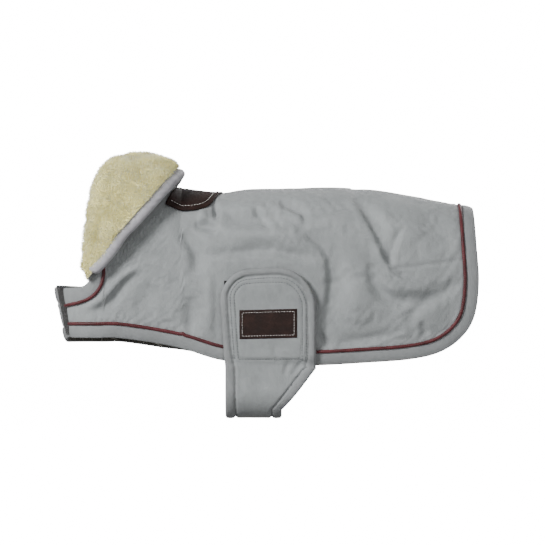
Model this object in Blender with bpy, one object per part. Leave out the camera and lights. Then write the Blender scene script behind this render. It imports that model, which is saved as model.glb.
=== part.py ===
"""A dog's coat in its worn shape: padded body panel, turned-down fleece collar, lapped chest flaps, belly strap.

Metres, +Z up, head towards -X, the dog's left side towards -Y. The origin is on the lining's inner face, on the
back line, above the middle of the belly strap. Cloth pieces are sheets with a thickness. A place on the coat's
body is given by x, by the girth from the back line (positive on the dog's right) and by the depth under the
outer face.
"""

import math

import bpy
import numpy as np

# Body panel
BACK_LENGTH = 0.346  # nape seam to rear edge
NAPE_X = -0.098
NAPE_HEIGHT = 0.004
SHOULDER_REACH = 0.097  # nape seam to chest hinge, along X
NECK_END_Z = -0.088  # lower end of the neck seam
SIDE_DROP = 0.203  # origin to the lowest hem
CHEST_DROP = 0.1705  # origin to the chest hem
SHOULDER_HALF_WIDTH = 0.056
RIB_HALF_WIDTH = 0.067
HIP_HALF_WIDTH = 0.057
ARCH_DEPTH = 0.075  # height of the rounded part over the back
HEM_TUCK = 0.62  # inward curl of the sides, per metre
NECK_RISE = 0.5  # slope of the back line carried on under the collar

# Cloth layers
SHELL = 0.0008
WADDING = 0.0028
LINING = 0.0006
GAP = 0.0003
PADDING_DEPTH = SHELL + GAP
LINING_DEPTH = PADDING_DEPTH + WADDING + 2 * GAP
COAT_THICKNESS = LINING_DEPTH + LINING

# Edges
BAND_WIDTH = 0.017
PIPING_RADIUS = 0.0015
PIPING_PROUD = 0.0010
FOLD_GAP = 0.0003  # half of the open slit at a bend line
PANEL_INSET = BAND_WIDTH + PIPING_RADIUS + GAP
LEG_LENGTH = BAND_WIDTH - PIPING_RADIUS - GAP

# Collar
COLLAR_OVERRUN = 0.005  # past the neck seam, towards the throat
COLLAR_REACH = 0.055  # height up the neck at which the roll is full
PILE = 0.0095
COLLAR_BACKING = 0.0008
ROLL_RADIUS = 0.0040
COLLAR_FLARE = 0.006
COLLAR_FOOT = 0.0021
COLLAR_BAND_WIDTH = 0.0105
COLLAR_BAND_HEIGHT = 0.0130
RIM_NARROWING = 0.93
NAPE_ROUNDING = 0.15
ELASTIC_WIDTH = 0.011
ELASTIC = 0.0015
ELASTIC_GAP = 0.0010

# Neck patch
PATCH_LENGTH = 0.041
PATCH_HALF_GIRTH = 0.052
PATCH_SETBACK = 0.009
LEATHER = 0.0016
PATCH_GAP = 0.0009

# Chest flaps
CHEST_REACH = 0.058
CHEST_LEAN = 0.20
CHEST_TOP = -0.108
LEFT_FLAP_END = math.radians(44)  # past the front centre, on the left side
RIGHT_FLAP_END = math.radians(63)
CHEST_BAND_WIDTH = 0.020
CHEST_RIM_GAP = 0.0012
HOOK_TAPE = 0.0010
LAP_DEPTH = COAT_THICKNESS + 2 * HOOK_TAPE + 3 * GAP
LAP_START = math.radians(30)

# Belly strap
STRAP_FRONT_X = -0.0455
STRAP_REAR_X = 0.021
FLAP_FRONT_X = -0.053
FLAP_REAR_X = 0.061
FLAP_TOP = -0.092
FLAP_CORNER = 0.030
STRAP_BOTTOM = -0.2646
BELLY_RADIUS = 0.034
STRAP_WADDING = 0.0020
STRAP_BAND_WIDTH = 0.0105
STRAP_PADDING_DEPTH = SHELL + GAP
STRAP_LINING_DEPTH = STRAP_PADDING_DEPTH + STRAP_WADDING + GAP
STRAP_THICKNESS = STRAP_LINING_DEPTH + LINING
STRAP_NARROWING = 0.068
STRAP_REST_GAP = 0.0005
FLAP_DEPTH = -(STRAP_REST_GAP + 2 * HOOK_TAPE + 2 * GAP + STRAP_THICKNESS)
FLAP_HINGE_DROP = 0.003  # below the hem
HINGE_SLIT = 0.0010
ANCHOR_HEIGHT = 0.042
ANCHOR_GAP = 0.0004
PATCH_BOTTOM = -SIDE_DROP + BAND_WIDTH + 0.012
LOOP_PATCH = (-0.044, 0.057, PATCH_BOTTOM, -0.102)  # x from, x to, z from, z to
HOOK_PATCH = (-0.036, 0.047, PATCH_BOTTOM, -0.108)
LABEL = (-0.028, 0.039, -0.1695, -0.1355)

# Facets
LENGTH_CELLS = 22
NECK_CELLS = 6
SIDE_CELLS = 9
CURVE_SAMPLES = 240


def clear_scene():
    for obj in list(bpy.data.objects):
        bpy.data.objects.remove(obj)


def material(name, colour, roughness):
    made = bpy.data.materials.get(name)
    if made is None:
        made = bpy.data.materials.new(name)
        made.use_nodes = True
        shader = made.node_tree.nodes["Principled BSDF"]
        shader.inputs["Base Color"].default_value = (*colour, 1.0)
        shader.inputs["Roughness"].default_value = roughness
        shader.inputs["Metallic"].default_value = 0.0
        made.diffuse_color = (*colour, 1.0)
    return made


def shell_cloth():
    return material("grey_shell", (0.33, 0.35, 0.35), 0.55)


def wadding_cloth():
    return material("wadding", (0.82, 0.82, 0.80), 0.95)


def lining_cloth():
    return material("lining", (0.20, 0.17, 0.15), 0.80)


def band_cloth():
    return material("grey_band", (0.28, 0.30, 0.29), 0.60)


def piping_cord():
    return material("burgundy_piping", (0.13, 0.02, 0.03), 0.55)


def leather():
    return material("brown_leather", (0.035, 0.020, 0.015), 0.50)


def tape():
    return material("black_tape", (0.008, 0.008, 0.010), 0.90)


def mix(a, b, part):
    return a + (b - a) * part


def smooth_step(value):
    value = min(max(value, 0.0), 1.0)
    return value * value * (3 - 2 * value)


def smooth_curve(points, samples=CURVE_SAMPLES):
    """Catmull-Rom curve through the points, evenly spaced along its length."""
    points = np.array(points, float)
    ends = np.vstack([2 * points[0] - points[1], points, 2 * points[-1] - points[-2]])
    dense = []
    for before, start, end, after in zip(ends[:-3], ends[1:-2], ends[2:-1], ends[3:]):
        for t in np.linspace(0, 1, 24, endpoint=False):
            dense.append(
                0.5 * (2 * start + (end - before) * t
                       + (2 * before - 5 * start + 4 * end - after) * t ** 2
                       + (3 * start - before - 3 * end + after) * t ** 3)
            )
    dense.append(points[-1])
    return resample(np.array(dense), samples)


def resample(line, samples):
    steps = np.linalg.norm(np.diff(line, axis=0), axis=1)
    length = np.concatenate([[0.0], np.cumsum(steps)])
    wanted = np.linspace(0, length[-1], samples)
    return np.stack([np.interp(wanted, length, column) for column in line.T], axis=1)


def back_x(part):
    return NAPE_X + part * BACK_LENGTH


def front_x(part):
    return NAPE_X - part * SHOULDER_REACH


HINGE_X = front_x(1.0)
BACK_LINE = smooth_curve([
    (back_x(0.00), NAPE_HEIGHT),
    (back_x(0.13), -0.0005),
    (back_x(0.25), 0.0050),
    (back_x(0.45), 0.0060),
    (back_x(0.62), 0.0055),
    (back_x(0.74), 0.0005),
    (back_x(0.90), -0.0105),
    (back_x(1.02), -0.0175),
])
WIDTH_LINE = smooth_curve([
    (front_x(1.0), SHOULDER_HALF_WIDTH),
    (back_x(0.0), mix(SHOULDER_HALF_WIDTH, RIB_HALF_WIDTH, 0.45)),
    (back_x(0.35), RIB_HALF_WIDTH),
    (back_x(0.62), mix(RIB_HALF_WIDTH, HIP_HALF_WIDTH, 0.1)),
    (back_x(1.02), HIP_HALF_WIDTH),
])


def back_height(x):
    if x < NAPE_X:
        return NAPE_HEIGHT + NECK_RISE * (NAPE_X - x)
    return float(np.interp(x, BACK_LINE[:, 0], BACK_LINE[:, 1]))


def half_width(x):
    return float(np.interp(x, WIDTH_LINE[:, 0], WIDTH_LINE[:, 1]))


def arch_girth(x):
    return math.pi / 4 * (half_width(x) + ARCH_DEPTH)


def on_body(x, girth):
    """A point of the outer face."""
    arch = arch_girth(x)
    angle = min(abs(girth) / arch, 1.0) * math.pi / 2
    below = max(abs(girth) - arch, 0.0)
    tuck = HEM_TUCK * smooth_step((x - HINGE_X) / SHOULDER_REACH)
    y = half_width(x) * math.sin(angle) - tuck * below ** 2
    z = back_height(x) - ARCH_DEPTH * (1 - math.cos(angle)) - below
    return np.array([x, math.copysign(y, girth), z])


def body_point(x, girth, depth=0.0):
    """A point at this depth under the outer face, or over it where depth is negative."""
    step = 1e-4
    along = on_body(x + step, girth) - on_body(x - step, girth)
    across = on_body(x, girth + step) - on_body(x, girth - step)
    normal = np.cross(along, across)
    return on_body(x, girth) - depth * normal / np.linalg.norm(normal)


def girth_at(x, z):
    drop = back_height(x) - z
    if drop < ARCH_DEPTH:
        return arch_girth(x) * math.acos(1 - max(drop, 0.0) / ARCH_DEPTH) / (math.pi / 2)
    return arch_girth(x) + drop - ARCH_DEPTH


def side_point(x, z, side, depth=0.0):
    """A point of the body panel given by its height. Side is -1 on the dog's left, +1 on its right."""
    return body_point(x, side * girth_at(x, z), depth)


def make_edge_line():
    """Finished edge of the right side, from the chest hinge along the hem to the back line: x and girth."""
    low = -SIDE_DROP
    line = smooth_curve([
        (front_x(1.00), -CHEST_DROP),
        (front_x(0.70), -CHEST_DROP),
        (front_x(0.05), mix(-CHEST_DROP, low, 0.34)),
        (back_x(0.133), mix(-CHEST_DROP, low, 0.80)),
        (back_x(0.30), low),
        (back_x(0.46), low),
        (back_x(0.624), low + 0.003),
        (back_x(0.775), low + 0.007),
        (back_x(0.876), low + 0.015),
        (back_x(0.951), low + 0.032),
        (back_x(0.997), low + 0.057),
        (back_x(1.013), low + 0.097),
        (back_x(1.006), low + 0.143),
        (back_x(1.000), back_height(back_x(1.0))),
    ])
    return resample(np.array([(x, girth_at(x, z)) for x, z in line]), CURVE_SAMPLES)


EDGE_LINE = make_edge_line()


def edge_stations(inset):
    """Points along the right side's edge, moved in by inset: the hem's stations, then the rear edge's."""
    tangent = np.gradient(EDGE_LINE, axis=0)
    tangent /= np.linalg.norm(tangent, axis=1)[:, None]
    moved = EDGE_LINE + inset * np.stack([tangent[:, 1], -tangent[:, 0]], axis=1)
    corner = int(np.argmax(tangent[:, 0] < math.cos(math.radians(50))))
    hem = np.linspace(0, corner, LENGTH_CELLS + 1).round().astype(int)
    rear = np.linspace(corner, CURVE_SAMPLES - 1, SIDE_CELLS + 1).round().astype(int)[1:]
    stations = moved[np.concatenate([hem, rear])]
    stations[0, 0] = HINGE_X + FOLD_GAP
    stations[-1, 1] = 0.0
    return stations


def edge_path(inset):
    """The whole edge: right hem from the chest, round the rear, and along the left hem to the chest."""
    right = edge_stations(inset)
    left = right * np.array([1.0, -1.0])
    return np.vstack([right, left[::-1][1:]])


def neck_line(samples):
    """Neck seam of the right side, from the nape to the chest hinge: x and girth."""
    nape = np.array([NAPE_X, back_height(NAPE_X)])
    end = np.array([HINGE_X + FOLD_GAP, NECK_END_Z])
    line = [mix(nape, end, part) for part in np.linspace(0, 1, CURVE_SAMPLES)]
    return resample(np.array([(x, girth_at(x, z)) for x, z in line]), samples)


def panel_grid():
    """Places inside the piping line: one row for each girth step from left to right, x and girth."""
    edge = edge_stations(PANEL_INSET)
    hem = edge[:LENGTH_CELLS + 1]
    rear = edge[LENGTH_CELLS:][::-1]
    neck = neck_line(NECK_CELLS + 1)
    fold = np.linspace(neck[-1], hem[0], SIDE_CELLS - NECK_CELLS + 1)[1:]
    front = np.vstack([neck, fold])
    spine = np.linspace(front[0], rear[0], LENGTH_CELLS + 1)
    rows = []
    for j, v in enumerate(np.linspace(0, 1, SIDE_CELLS + 1)):
        row = []
        for i, u in enumerate(np.linspace(0, 1, LENGTH_CELLS + 1)):
            sides = mix(front[j], rear[j], u) + mix(spine[i], hem[i], v)
            corners = mix(mix(front[0], rear[0], u), mix(front[-1], rear[-1], u), v)
            row.append(sides - corners)
        rows.append(np.array(row))
    left = [row * np.array([1.0, -1.0]) for row in rows[:0:-1]]
    return np.array(left + rows)


def grid_faces(rows, columns):
    """Triangles over a grid of points, with the diagonals all one way."""
    faces = []
    for i in range(rows - 1):
        for j in range(columns - 1):
            a = i * columns + j
            faces += [(a, a + 1, a + columns + 1), (a, a + columns + 1, a + columns)]
    return faces


def add_mesh(name, points, faces, cloth):
    mesh = bpy.data.meshes.new(name)
    mesh.from_pydata([tuple(point) for point in points], [], faces)
    mesh.materials.append(cloth)
    mesh.shade_smooth()
    mesh.set_sharp_from_angle(angle=math.radians(40))
    obj = bpy.data.objects.new(name, mesh)
    bpy.context.scene.collection.objects.link(obj)
    return obj


def add_sheet(name, points, faces, thickness, cloth, creased=False):
    """A sheet thickened behind its points, its outer face. A creased one keeps its thickness at folds."""
    obj = add_mesh(name, points, faces, cloth)
    solidify = obj.modifiers.new("thickness", "SOLIDIFY")
    solidify.thickness = thickness
    solidify.offset = -1
    solidify.use_even_offset = creased


def add_grid(name, grid, thickness, cloth, creased=False):
    """A sheet from rows of points. Seen from outside, each row lies left of the way the last one runs."""
    grid = np.array(grid)
    rows, columns = grid.shape[:2]
    add_sheet(name, grid.reshape(-1, 3), grid_faces(rows, columns), thickness, cloth, creased)


def add_skin(name, rings, cloth):
    """One closed body through matching rings of points, capped at both ends."""
    rings = np.array(rings)
    count, around = rings.shape[:2]
    faces = []
    for i in range(count - 1):
        for j in range(around):
            a, b = i * around + j, i * around + (j + 1) % around
            faces += [(a, b, b + around), (a, b + around, a + around)]
    faces.append(tuple(range(around))[::-1])
    faces.append(tuple(range((count - 1) * around, count * around)))
    add_mesh(name, rings.reshape(-1, 3), faces, cloth)


def add_cord(name, points, radius, cloth):
    curve = bpy.data.curves.new(name, "CURVE")
    curve.dimensions = "3D"
    curve.bevel_depth = radius
    curve.bevel_resolution = 1
    curve.use_fill_caps = True
    spline = curve.splines.new("POLY")
    spline.points.add(len(points) - 1)
    for place, point in zip(spline.points, points):
        place.co = (*point, 1.0)
    curve.materials.append(cloth)
    bpy.context.scene.collection.objects.link(bpy.data.objects.new(name, curve))


def make_body_layer(name, depth, thickness, border, cloth):
    """One layer of the body panel. Border is how close to the finished edge it comes."""
    grid = panel_grid()
    rows, columns = grid.shape[:2]
    places = list(grid.reshape(-1, 2))
    faces = grid_faces(rows, columns)
    if border < PANEL_INSET:
        left_row = list(range(columns))
        right_row = [(rows - 1) * columns + i for i in range(columns)]
        rear = [j * columns + columns - 1 for j in range(rows)]
        inner = right_row + rear[-2:0:-1] + left_row[::-1]
        start = len(places)
        places += list(edge_path(border))
        for i in range(len(inner) - 1):
            a, b = inner[i], inner[i + 1]
            c, d = start + i, start + i + 1
            faces += [(a, b, d), (a, d, c)]
    points = [body_point(x, girth, depth) for x, girth in places]
    add_sheet(name, points, faces, thickness, cloth)


def wrap_edge(name, place, leg, thickness):
    """A binding folded round an edge, with a leg over each face. Place gives a row at an inset and a depth."""
    profile = ((leg, 0.0), (0.0, 0.0), (0.0, thickness), (leg, thickness))
    rows = [place(inset, depth) for inset, depth in profile]
    add_grid(name, rows, LINING, band_cloth(), creased=True)


def make_body():
    make_body_layer("outer_shell", 0.0, SHELL, PANEL_INSET, shell_cloth())
    make_body_layer("body_padding", PADDING_DEPTH, WADDING, SHELL + GAP, wadding_cloth())
    make_body_layer("body_lining", LINING_DEPTH, LINING, LEG_LENGTH + GAP, lining_cloth())

    def place(inset, depth):
        return [body_point(x, girth, depth) for x, girth in edge_path(inset)]

    wrap_edge("edge_band", place, LEG_LENGTH, COAT_THICKNESS)
    cord = [body_point(x, girth, -PIPING_PROUD) for x, girth in edge_path(BAND_WIDTH)]
    add_cord("edge_piping", cord, PIPING_RADIUS, piping_cord())


def make_neck_elastic():
    """Elastic in the neck seam's casing, inside the lining."""
    line = neck_line(NECK_CELLS + 1)
    both = np.vstack([line[:0:-1] * np.array([1.0, -1.0]), line])[1:-1]
    depth = COAT_THICKNESS + ELASTIC_GAP
    rows = []
    for setback in (2 * GAP, 2 * GAP + ELASTIC_WIDTH):
        rows.append([body_point(x + setback, girth, depth) for x, girth in both])
    add_grid("neck_elastic", rows[::-1], ELASTIC, material("elastic", (0.7, 0.7, 0.68), 0.9))


def make_rim_line():
    """Outermost line of the rolled collar in side view, from the nape to each free end."""
    throat_x = HINGE_X - 0.018
    return smooth_curve([
        (NAPE_X - 0.071, 0.034),
        (NAPE_X - 0.091, 0.028),
        (throat_x + 0.012, 0.006),
        (throat_x + 0.007, -0.030),
        (throat_x + 0.003, -0.062),
        (throat_x, NECK_END_Z),
    ])


NECK_SEAM = neck_line(CURVE_SAMPLES)
RIM_LINE = make_rim_line()


def collar_base(part):
    """A point of the neck seam. Part is 0 at the nape and 1 at the right end, -1 at the left end."""
    length = np.linspace(0, 1, CURVE_SAMPLES)
    x, girth = (np.interp(abs(part), length, NECK_SEAM[:, k]) for k in (0, 1))
    overrun = COLLAR_OVERRUN * max(abs(part) - 0.85, 0.0) / 0.15
    base = body_point(x, math.copysign(girth, part))
    return base + overrun * np.array([-math.sqrt(0.5), 0.0, -math.sqrt(0.5)])


def collar_frame(part):
    """Base point, the way up the neck, the way outwards, the stand's height and how full the roll is."""
    base = collar_base(part)
    length = np.linspace(0, 1, CURVE_SAMPLES)
    rounded = math.hypot(part, NAPE_ROUNDING) - NAPE_ROUNDING
    rounded /= math.hypot(1, NAPE_ROUNDING) - NAPE_ROUNDING
    rim_x, rim_z = (np.interp(rounded, length, RIM_LINE[:, k]) for k in (0, 1))
    up = np.array([rim_x, base[1] * RIM_NARROWING, rim_z]) - base
    height = float(np.linalg.norm(up))
    up /= height
    step = 1e-3
    tangent = collar_base(min(part + step, 1.0)) - collar_base(max(part - step, -1.0))
    out = np.cross(tangent, up)
    out /= np.linalg.norm(out)
    return base, up, out, height, min(height / COLLAR_REACH, 1.0)


def collar_profile(part, radius):
    """Hook-shaped line: up the neck, over the roll, and back down outside it. Radius is that of a full roll."""
    base, up, out, height, full = collar_frame(part)
    radius *= full
    middle = ROLL_RADIUS * full
    centre = height - (ROLL_RADIUS + PILE) * full
    flare = COLLAR_FLARE * full
    points = [(along, middle - radius) for along in (COLLAR_FOOT, mix(COLLAR_FOOT, centre, 0.5))]
    for turn in np.linspace(0, math.pi, 7):
        points.append((centre + radius * math.sin(turn), middle - radius * math.cos(turn)))
    for down in (0.5, 1.0):
        points.append((mix(centre, 2 * COLLAR_FOOT, down), middle + radius + flare * down))
    return [base + along * up + away * out for along, away in points]


def make_collar():
    stations = np.linspace(-1, 1, 31)
    fleece = []
    backing = []
    band = []
    for part in stations:
        inner = collar_profile(part, ROLL_RADIUS + COLLAR_BACKING + GAP)
        fleece.append(collar_profile(part, ROLL_RADIUS + PILE) + inner[::-1])
        under = collar_profile(part, ROLL_RADIUS - COLLAR_BACKING)
        backing.append(collar_profile(part, ROLL_RADIUS) + under[::-1])
        base, up, out, _, full = collar_frame(part)
        middle = base - up * (COLLAR_BAND_WIDTH / 2 - 2 * COLLAR_FOOT + 2 * GAP)
        middle = middle + out * (2 * ROLL_RADIUS + COLLAR_FLARE) * mix(1.0, full, 0.6)
        ring = []
        for turn in np.linspace(0, 2 * math.pi, 10, endpoint=False):
            ring.append(middle + up * math.cos(turn) * COLLAR_BAND_WIDTH / 2
                        + out * math.sin(turn) * COLLAR_BAND_HEIGHT / 2)
        band.append(ring)
    add_skin("collar_fleece", fleece, material("fleece", (0.75, 0.72, 0.48), 0.95))
    add_skin("collar_backing", backing, band_cloth())
    add_skin("collar_edge_band", band, material("collar_band", (0.37, 0.37, 0.40), 0.7))


def make_neck_patch():
    line = neck_line(CURVE_SAMPLES)
    rows = []
    for part in np.linspace(-1, 1, 13):
        girth = part * PATCH_HALF_GIRTH
        front = float(np.interp(abs(girth), line[:, 1], line[:, 0])) + PATCH_SETBACK
        length = PATCH_LENGTH * (1 - 0.35 * abs(part) ** 3)
        rows.append([body_point(front + length * along, girth, -PATCH_GAP - LEATHER)
                     for along in np.linspace(0, 1, 6)])
    add_grid("neck_patch", rows, LEATHER, leather())


def chest_point(angle, z, depth):
    """Angle from the front centre, positive on the dog's right. The front leans back towards the hem."""
    reach = CHEST_REACH - CHEST_LEAN * (CHEST_TOP - z) - depth
    width = half_width(HINGE_X) - depth
    return np.array([HINGE_X - FOLD_GAP - reach * math.cos(angle), width * math.sin(angle), z])


def left_angles():
    return np.linspace(-math.pi / 2, -LEFT_FLAP_END, 7)


def right_angles():
    return np.linspace(-RIGHT_FLAP_END, math.pi / 2, 17)


def left_lap(angle):
    return 0.0


def right_lap(angle):
    """The right flap sinks under the left one, past the front centre."""
    return LAP_DEPTH * smooth_step((LAP_START - angle) / (2 * LAP_START))


def make_chest_flap(side, angles, lap, piping_angles):
    low, high = -CHEST_DROP, CHEST_TOP
    upper_line = high - CHEST_BAND_WIDTH
    lower_line = low + BAND_WIDTH

    def at_height(z, depth, turns=angles):
        return [chest_point(angle, z, depth + lap(angle)) for angle in turns]

    def layer(name, depth, thickness, bottom, top, cloth):
        rows = [at_height(z, depth) for z in np.linspace(top, bottom, 3)]
        add_grid(f"{name}_{side}", rows, thickness, cloth)

    beside = PIPING_RADIUS + GAP
    layer("chest_shell", 0.0, SHELL, lower_line + beside, upper_line - beside, shell_cloth())
    rim = SHELL + CHEST_RIM_GAP
    layer("chest_padding", PADDING_DEPTH, WADDING, low + rim, high - rim, wadding_cloth())
    meet = beside - GAP
    layer("chest_lining", LINING_DEPTH, LINING, lower_line - meet, upper_line + meet, lining_cloth())

    def from_top(inset, depth):
        return at_height(high - inset, depth)[::-1]

    def from_bottom(inset, depth):
        return at_height(low + inset, depth)

    wrap_edge(f"chest_upper_band_{side}", from_top, CHEST_BAND_WIDTH - beside, COAT_THICKNESS)
    wrap_edge(f"chest_lower_band_{side}", from_bottom, LEG_LENGTH, COAT_THICKNESS)
    for name, z in (("upper", upper_line), ("lower", lower_line)):
        line = at_height(z, -PIPING_PROUD, piping_angles)
        add_cord(f"chest_{name}_piping_{side}", line, PIPING_RADIUS, piping_cord())


def make_chest_tapes():
    low, high = -CHEST_DROP + 0.002, CHEST_TOP - 0.003

    def strip(name, start, end, depth):
        rows = []
        for z in np.linspace(high, low, 3):
            rows.append([chest_point(angle, z, depth) for angle in np.linspace(start, end, 5)])
        add_grid(name, rows, HOOK_TAPE, tape())

    strip("chest_hook_strip", -math.radians(62), -math.radians(45.5), COAT_THICKNESS + GAP)
    strip("chest_loop_strip", -math.radians(61), -LAP_START, COAT_THICKNESS + HOOK_TAPE + 2 * GAP)


def hinge_height():
    """Height of the bend line below the hem, where the strap's end peels away."""
    return -SIDE_DROP - FLAP_HINGE_DROP


def flap_edges(z, inset):
    """Front and rear edge of the strap's end at this height, with rounded upper corners."""
    part = (z - hinge_height()) / (FLAP_TOP - hinge_height())
    front = mix(STRAP_FRONT_X, FLAP_FRONT_X, part) + inset
    rear = FLAP_REAR_X - inset
    radius = FLAP_CORNER - inset
    over = max(z - (FLAP_TOP - FLAP_CORNER), 0.0)
    cut = radius - math.sqrt(max(radius ** 2 - over ** 2, 0.0))
    return front + cut, rear - cut


def flap_heights(inset):
    low = hinge_height() + HINGE_SLIT
    bend = FLAP_TOP - FLAP_CORNER
    straight = list(np.linspace(low, bend, 5))
    turned = [bend + (FLAP_CORNER - inset) * math.sin(turn) for turn in np.linspace(0, math.pi / 2, 6)[1:]]
    return straight + turned


def make_flap():
    def layer(name, depth, thickness, inset, cloth):
        rows = []
        for z in flap_heights(inset):
            front, rear = flap_edges(z, inset)
            rows.append([side_point(x, z, -1, FLAP_DEPTH + depth) for x in np.linspace(front, rear, 7)])
        add_grid(name, rows, thickness, cloth)

    leg = STRAP_BAND_WIDTH
    layer("flap_shell", 0.0, SHELL, leg + GAP, shell_cloth())
    layer("flap_padding", STRAP_PADDING_DEPTH, STRAP_WADDING, SHELL + GAP, wadding_cloth())
    layer("flap_lining", STRAP_LINING_DEPTH, LINING, leg + GAP, lining_cloth())

    def outline(inset):
        heights = flap_heights(inset)
        front = [(flap_edges(z, inset)[0], z) for z in heights]
        rear = [(flap_edges(z, inset)[1], z) for z in heights]
        return front + rear[::-1]

    def place(inset, depth):
        return [side_point(x, z, -1, FLAP_DEPTH + depth) for x, z in outline(inset)]

    wrap_edge("flap_band", place, leg, STRAP_THICKNESS)


def add_flank_patch(name, area, depth, thickness, cloth, side=-1):
    x_from, x_to, z_from, z_to = area
    rows = [[side_point(x, z, side, depth) for x in np.linspace(x_from, x_to, 5)]
            for z in np.linspace(z_to, z_from, 5)]
    if side < 0:
        rows = rows[::-1]
    add_grid(name, rows, thickness, cloth)


def make_flank_patches():
    add_flank_patch("flank_loop_patch", LOOP_PATCH, -STRAP_REST_GAP - HOOK_TAPE, HOOK_TAPE, tape())
    hook_depth = -STRAP_REST_GAP - GAP - 2 * HOOK_TAPE
    add_flank_patch("flap_hook_patch", HOOK_PATCH, hook_depth, HOOK_TAPE, tape())
    add_flank_patch("flap_label", LABEL, FLAP_DEPTH - GAP - LEATHER, LEATHER, leather())
    top = hinge_height() + HINGE_SLIT + ANCHOR_HEIGHT
    anchor = (STRAP_FRONT_X, STRAP_REAR_X, hinge_height() + HINGE_SLIT, top)
    add_flank_patch("strap_anchor", anchor, COAT_THICKNESS + ANCHOR_GAP, STRAP_THICKNESS, band_cloth(), side=1)


def strap_path():
    """Outer face under the belly, from the left bend line to the right one: y, z, normal y, normal z."""
    middle = mix(STRAP_FRONT_X, STRAP_REAR_X, 0.5)
    left = side_point(middle, hinge_height(), -1, FLAP_DEPTH)[1]
    right = side_point(middle, hinge_height(), 1, COAT_THICKNESS + ANCHOR_GAP)[1]
    start = hinge_height() - HINGE_SLIT
    bend = STRAP_BOTTOM + BELLY_RADIUS
    stations = [(left, z, -1.0, 0.0) for z in np.linspace(start, bend, 3)]
    for turn in np.linspace(0, math.pi / 2, 6)[1:]:
        y = left + BELLY_RADIUS * (1 - math.cos(turn))
        stations.append((y, bend - BELLY_RADIUS * math.sin(turn), -math.cos(turn), -math.sin(turn)))
    for turn in np.linspace(math.pi / 2, 0, 6):
        y = right - BELLY_RADIUS * (1 - math.cos(turn))
        stations.append((y, bend - BELLY_RADIUS * math.sin(turn), math.cos(turn), -math.sin(turn)))
    stations += [(right, z, 1.0, 0.0) for z in np.linspace(bend, start, 3)[1:]]
    return np.array(stations)


def strap_edges(path, inset):
    """Front and rear edge of the strap at each station."""
    steps = np.linalg.norm(np.diff(path[:, :2], axis=0), axis=1)
    length = np.concatenate([[0.0], np.cumsum(steps)])
    narrowed = np.minimum(length / STRAP_NARROWING, 1.0)
    rear = mix(FLAP_REAR_X, STRAP_REAR_X, narrowed) - inset
    front = np.full(len(path), STRAP_FRONT_X + inset)
    return front, rear


def make_strap():
    path = strap_path()

    def row(xs, depth):
        return [np.array([x, y - depth * ny, z - depth * nz]) for x, (y, z, ny, nz) in zip(xs, path)]

    def layer(name, depth, thickness, inset, cloth):
        front, rear = strap_edges(path, inset)
        rows = [row(mix(front, rear, part), depth) for part in np.linspace(0, 1, 4)]
        add_grid(name, rows, thickness, cloth)

    leg = STRAP_BAND_WIDTH
    layer("strap_shell", 0.0, SHELL, leg + GAP, shell_cloth())
    layer("strap_padding", STRAP_PADDING_DEPTH, STRAP_WADDING, SHELL + GAP, wadding_cloth())
    layer("strap_lining", STRAP_LINING_DEPTH, LINING, leg + GAP, lining_cloth())

    def front_edge(inset, depth):
        return row(strap_edges(path, inset)[0], depth)[::-1]

    def rear_edge(inset, depth):
        return row(strap_edges(path, inset)[1], depth)

    wrap_edge("strap_band_front", front_edge, leg, STRAP_THICKNESS)
    wrap_edge("strap_band_rear", rear_edge, leg, STRAP_THICKNESS)


def main():
    clear_scene()
    make_body()
    make_neck_elastic()
    make_collar()
    make_neck_patch()
    make_chest_flap("left", left_angles(), left_lap, left_angles())
    shown = right_angles() > -LAP_START * 0.9
    make_chest_flap("right", right_angles(), right_lap, right_angles()[shown])
    make_chest_tapes()
    make_strap()
    make_flap()
    make_flank_patches()


main()
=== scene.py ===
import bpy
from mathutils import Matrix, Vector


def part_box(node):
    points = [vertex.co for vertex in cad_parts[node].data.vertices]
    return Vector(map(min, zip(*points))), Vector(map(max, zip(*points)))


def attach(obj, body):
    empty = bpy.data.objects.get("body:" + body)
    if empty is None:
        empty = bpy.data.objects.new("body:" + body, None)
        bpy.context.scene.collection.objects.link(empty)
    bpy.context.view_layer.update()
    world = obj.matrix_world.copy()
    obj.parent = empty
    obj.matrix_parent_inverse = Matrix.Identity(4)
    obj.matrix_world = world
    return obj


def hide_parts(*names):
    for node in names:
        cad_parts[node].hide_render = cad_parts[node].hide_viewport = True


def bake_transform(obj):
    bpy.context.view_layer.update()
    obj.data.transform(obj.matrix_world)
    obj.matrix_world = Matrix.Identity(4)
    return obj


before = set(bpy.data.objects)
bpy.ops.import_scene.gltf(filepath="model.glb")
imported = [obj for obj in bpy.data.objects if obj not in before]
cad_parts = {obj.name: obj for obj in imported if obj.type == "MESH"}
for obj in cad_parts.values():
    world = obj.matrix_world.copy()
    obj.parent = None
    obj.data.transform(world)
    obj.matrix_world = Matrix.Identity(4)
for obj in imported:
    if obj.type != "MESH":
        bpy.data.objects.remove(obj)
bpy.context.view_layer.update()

import math

import bpy
import numpy as np
from mathutils import Vector, noise

# Metres, +Z up, head towards -X, the dog's left side towards -Y. A place on the coat is (u, g, side): u is X
# on the body and goes on as a length round the chest ahead of the hinge, g is the girth from the back line,
# and side is -1 on the dog's left and +1 on its right. The shape is that of the solids, made finer.

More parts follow.
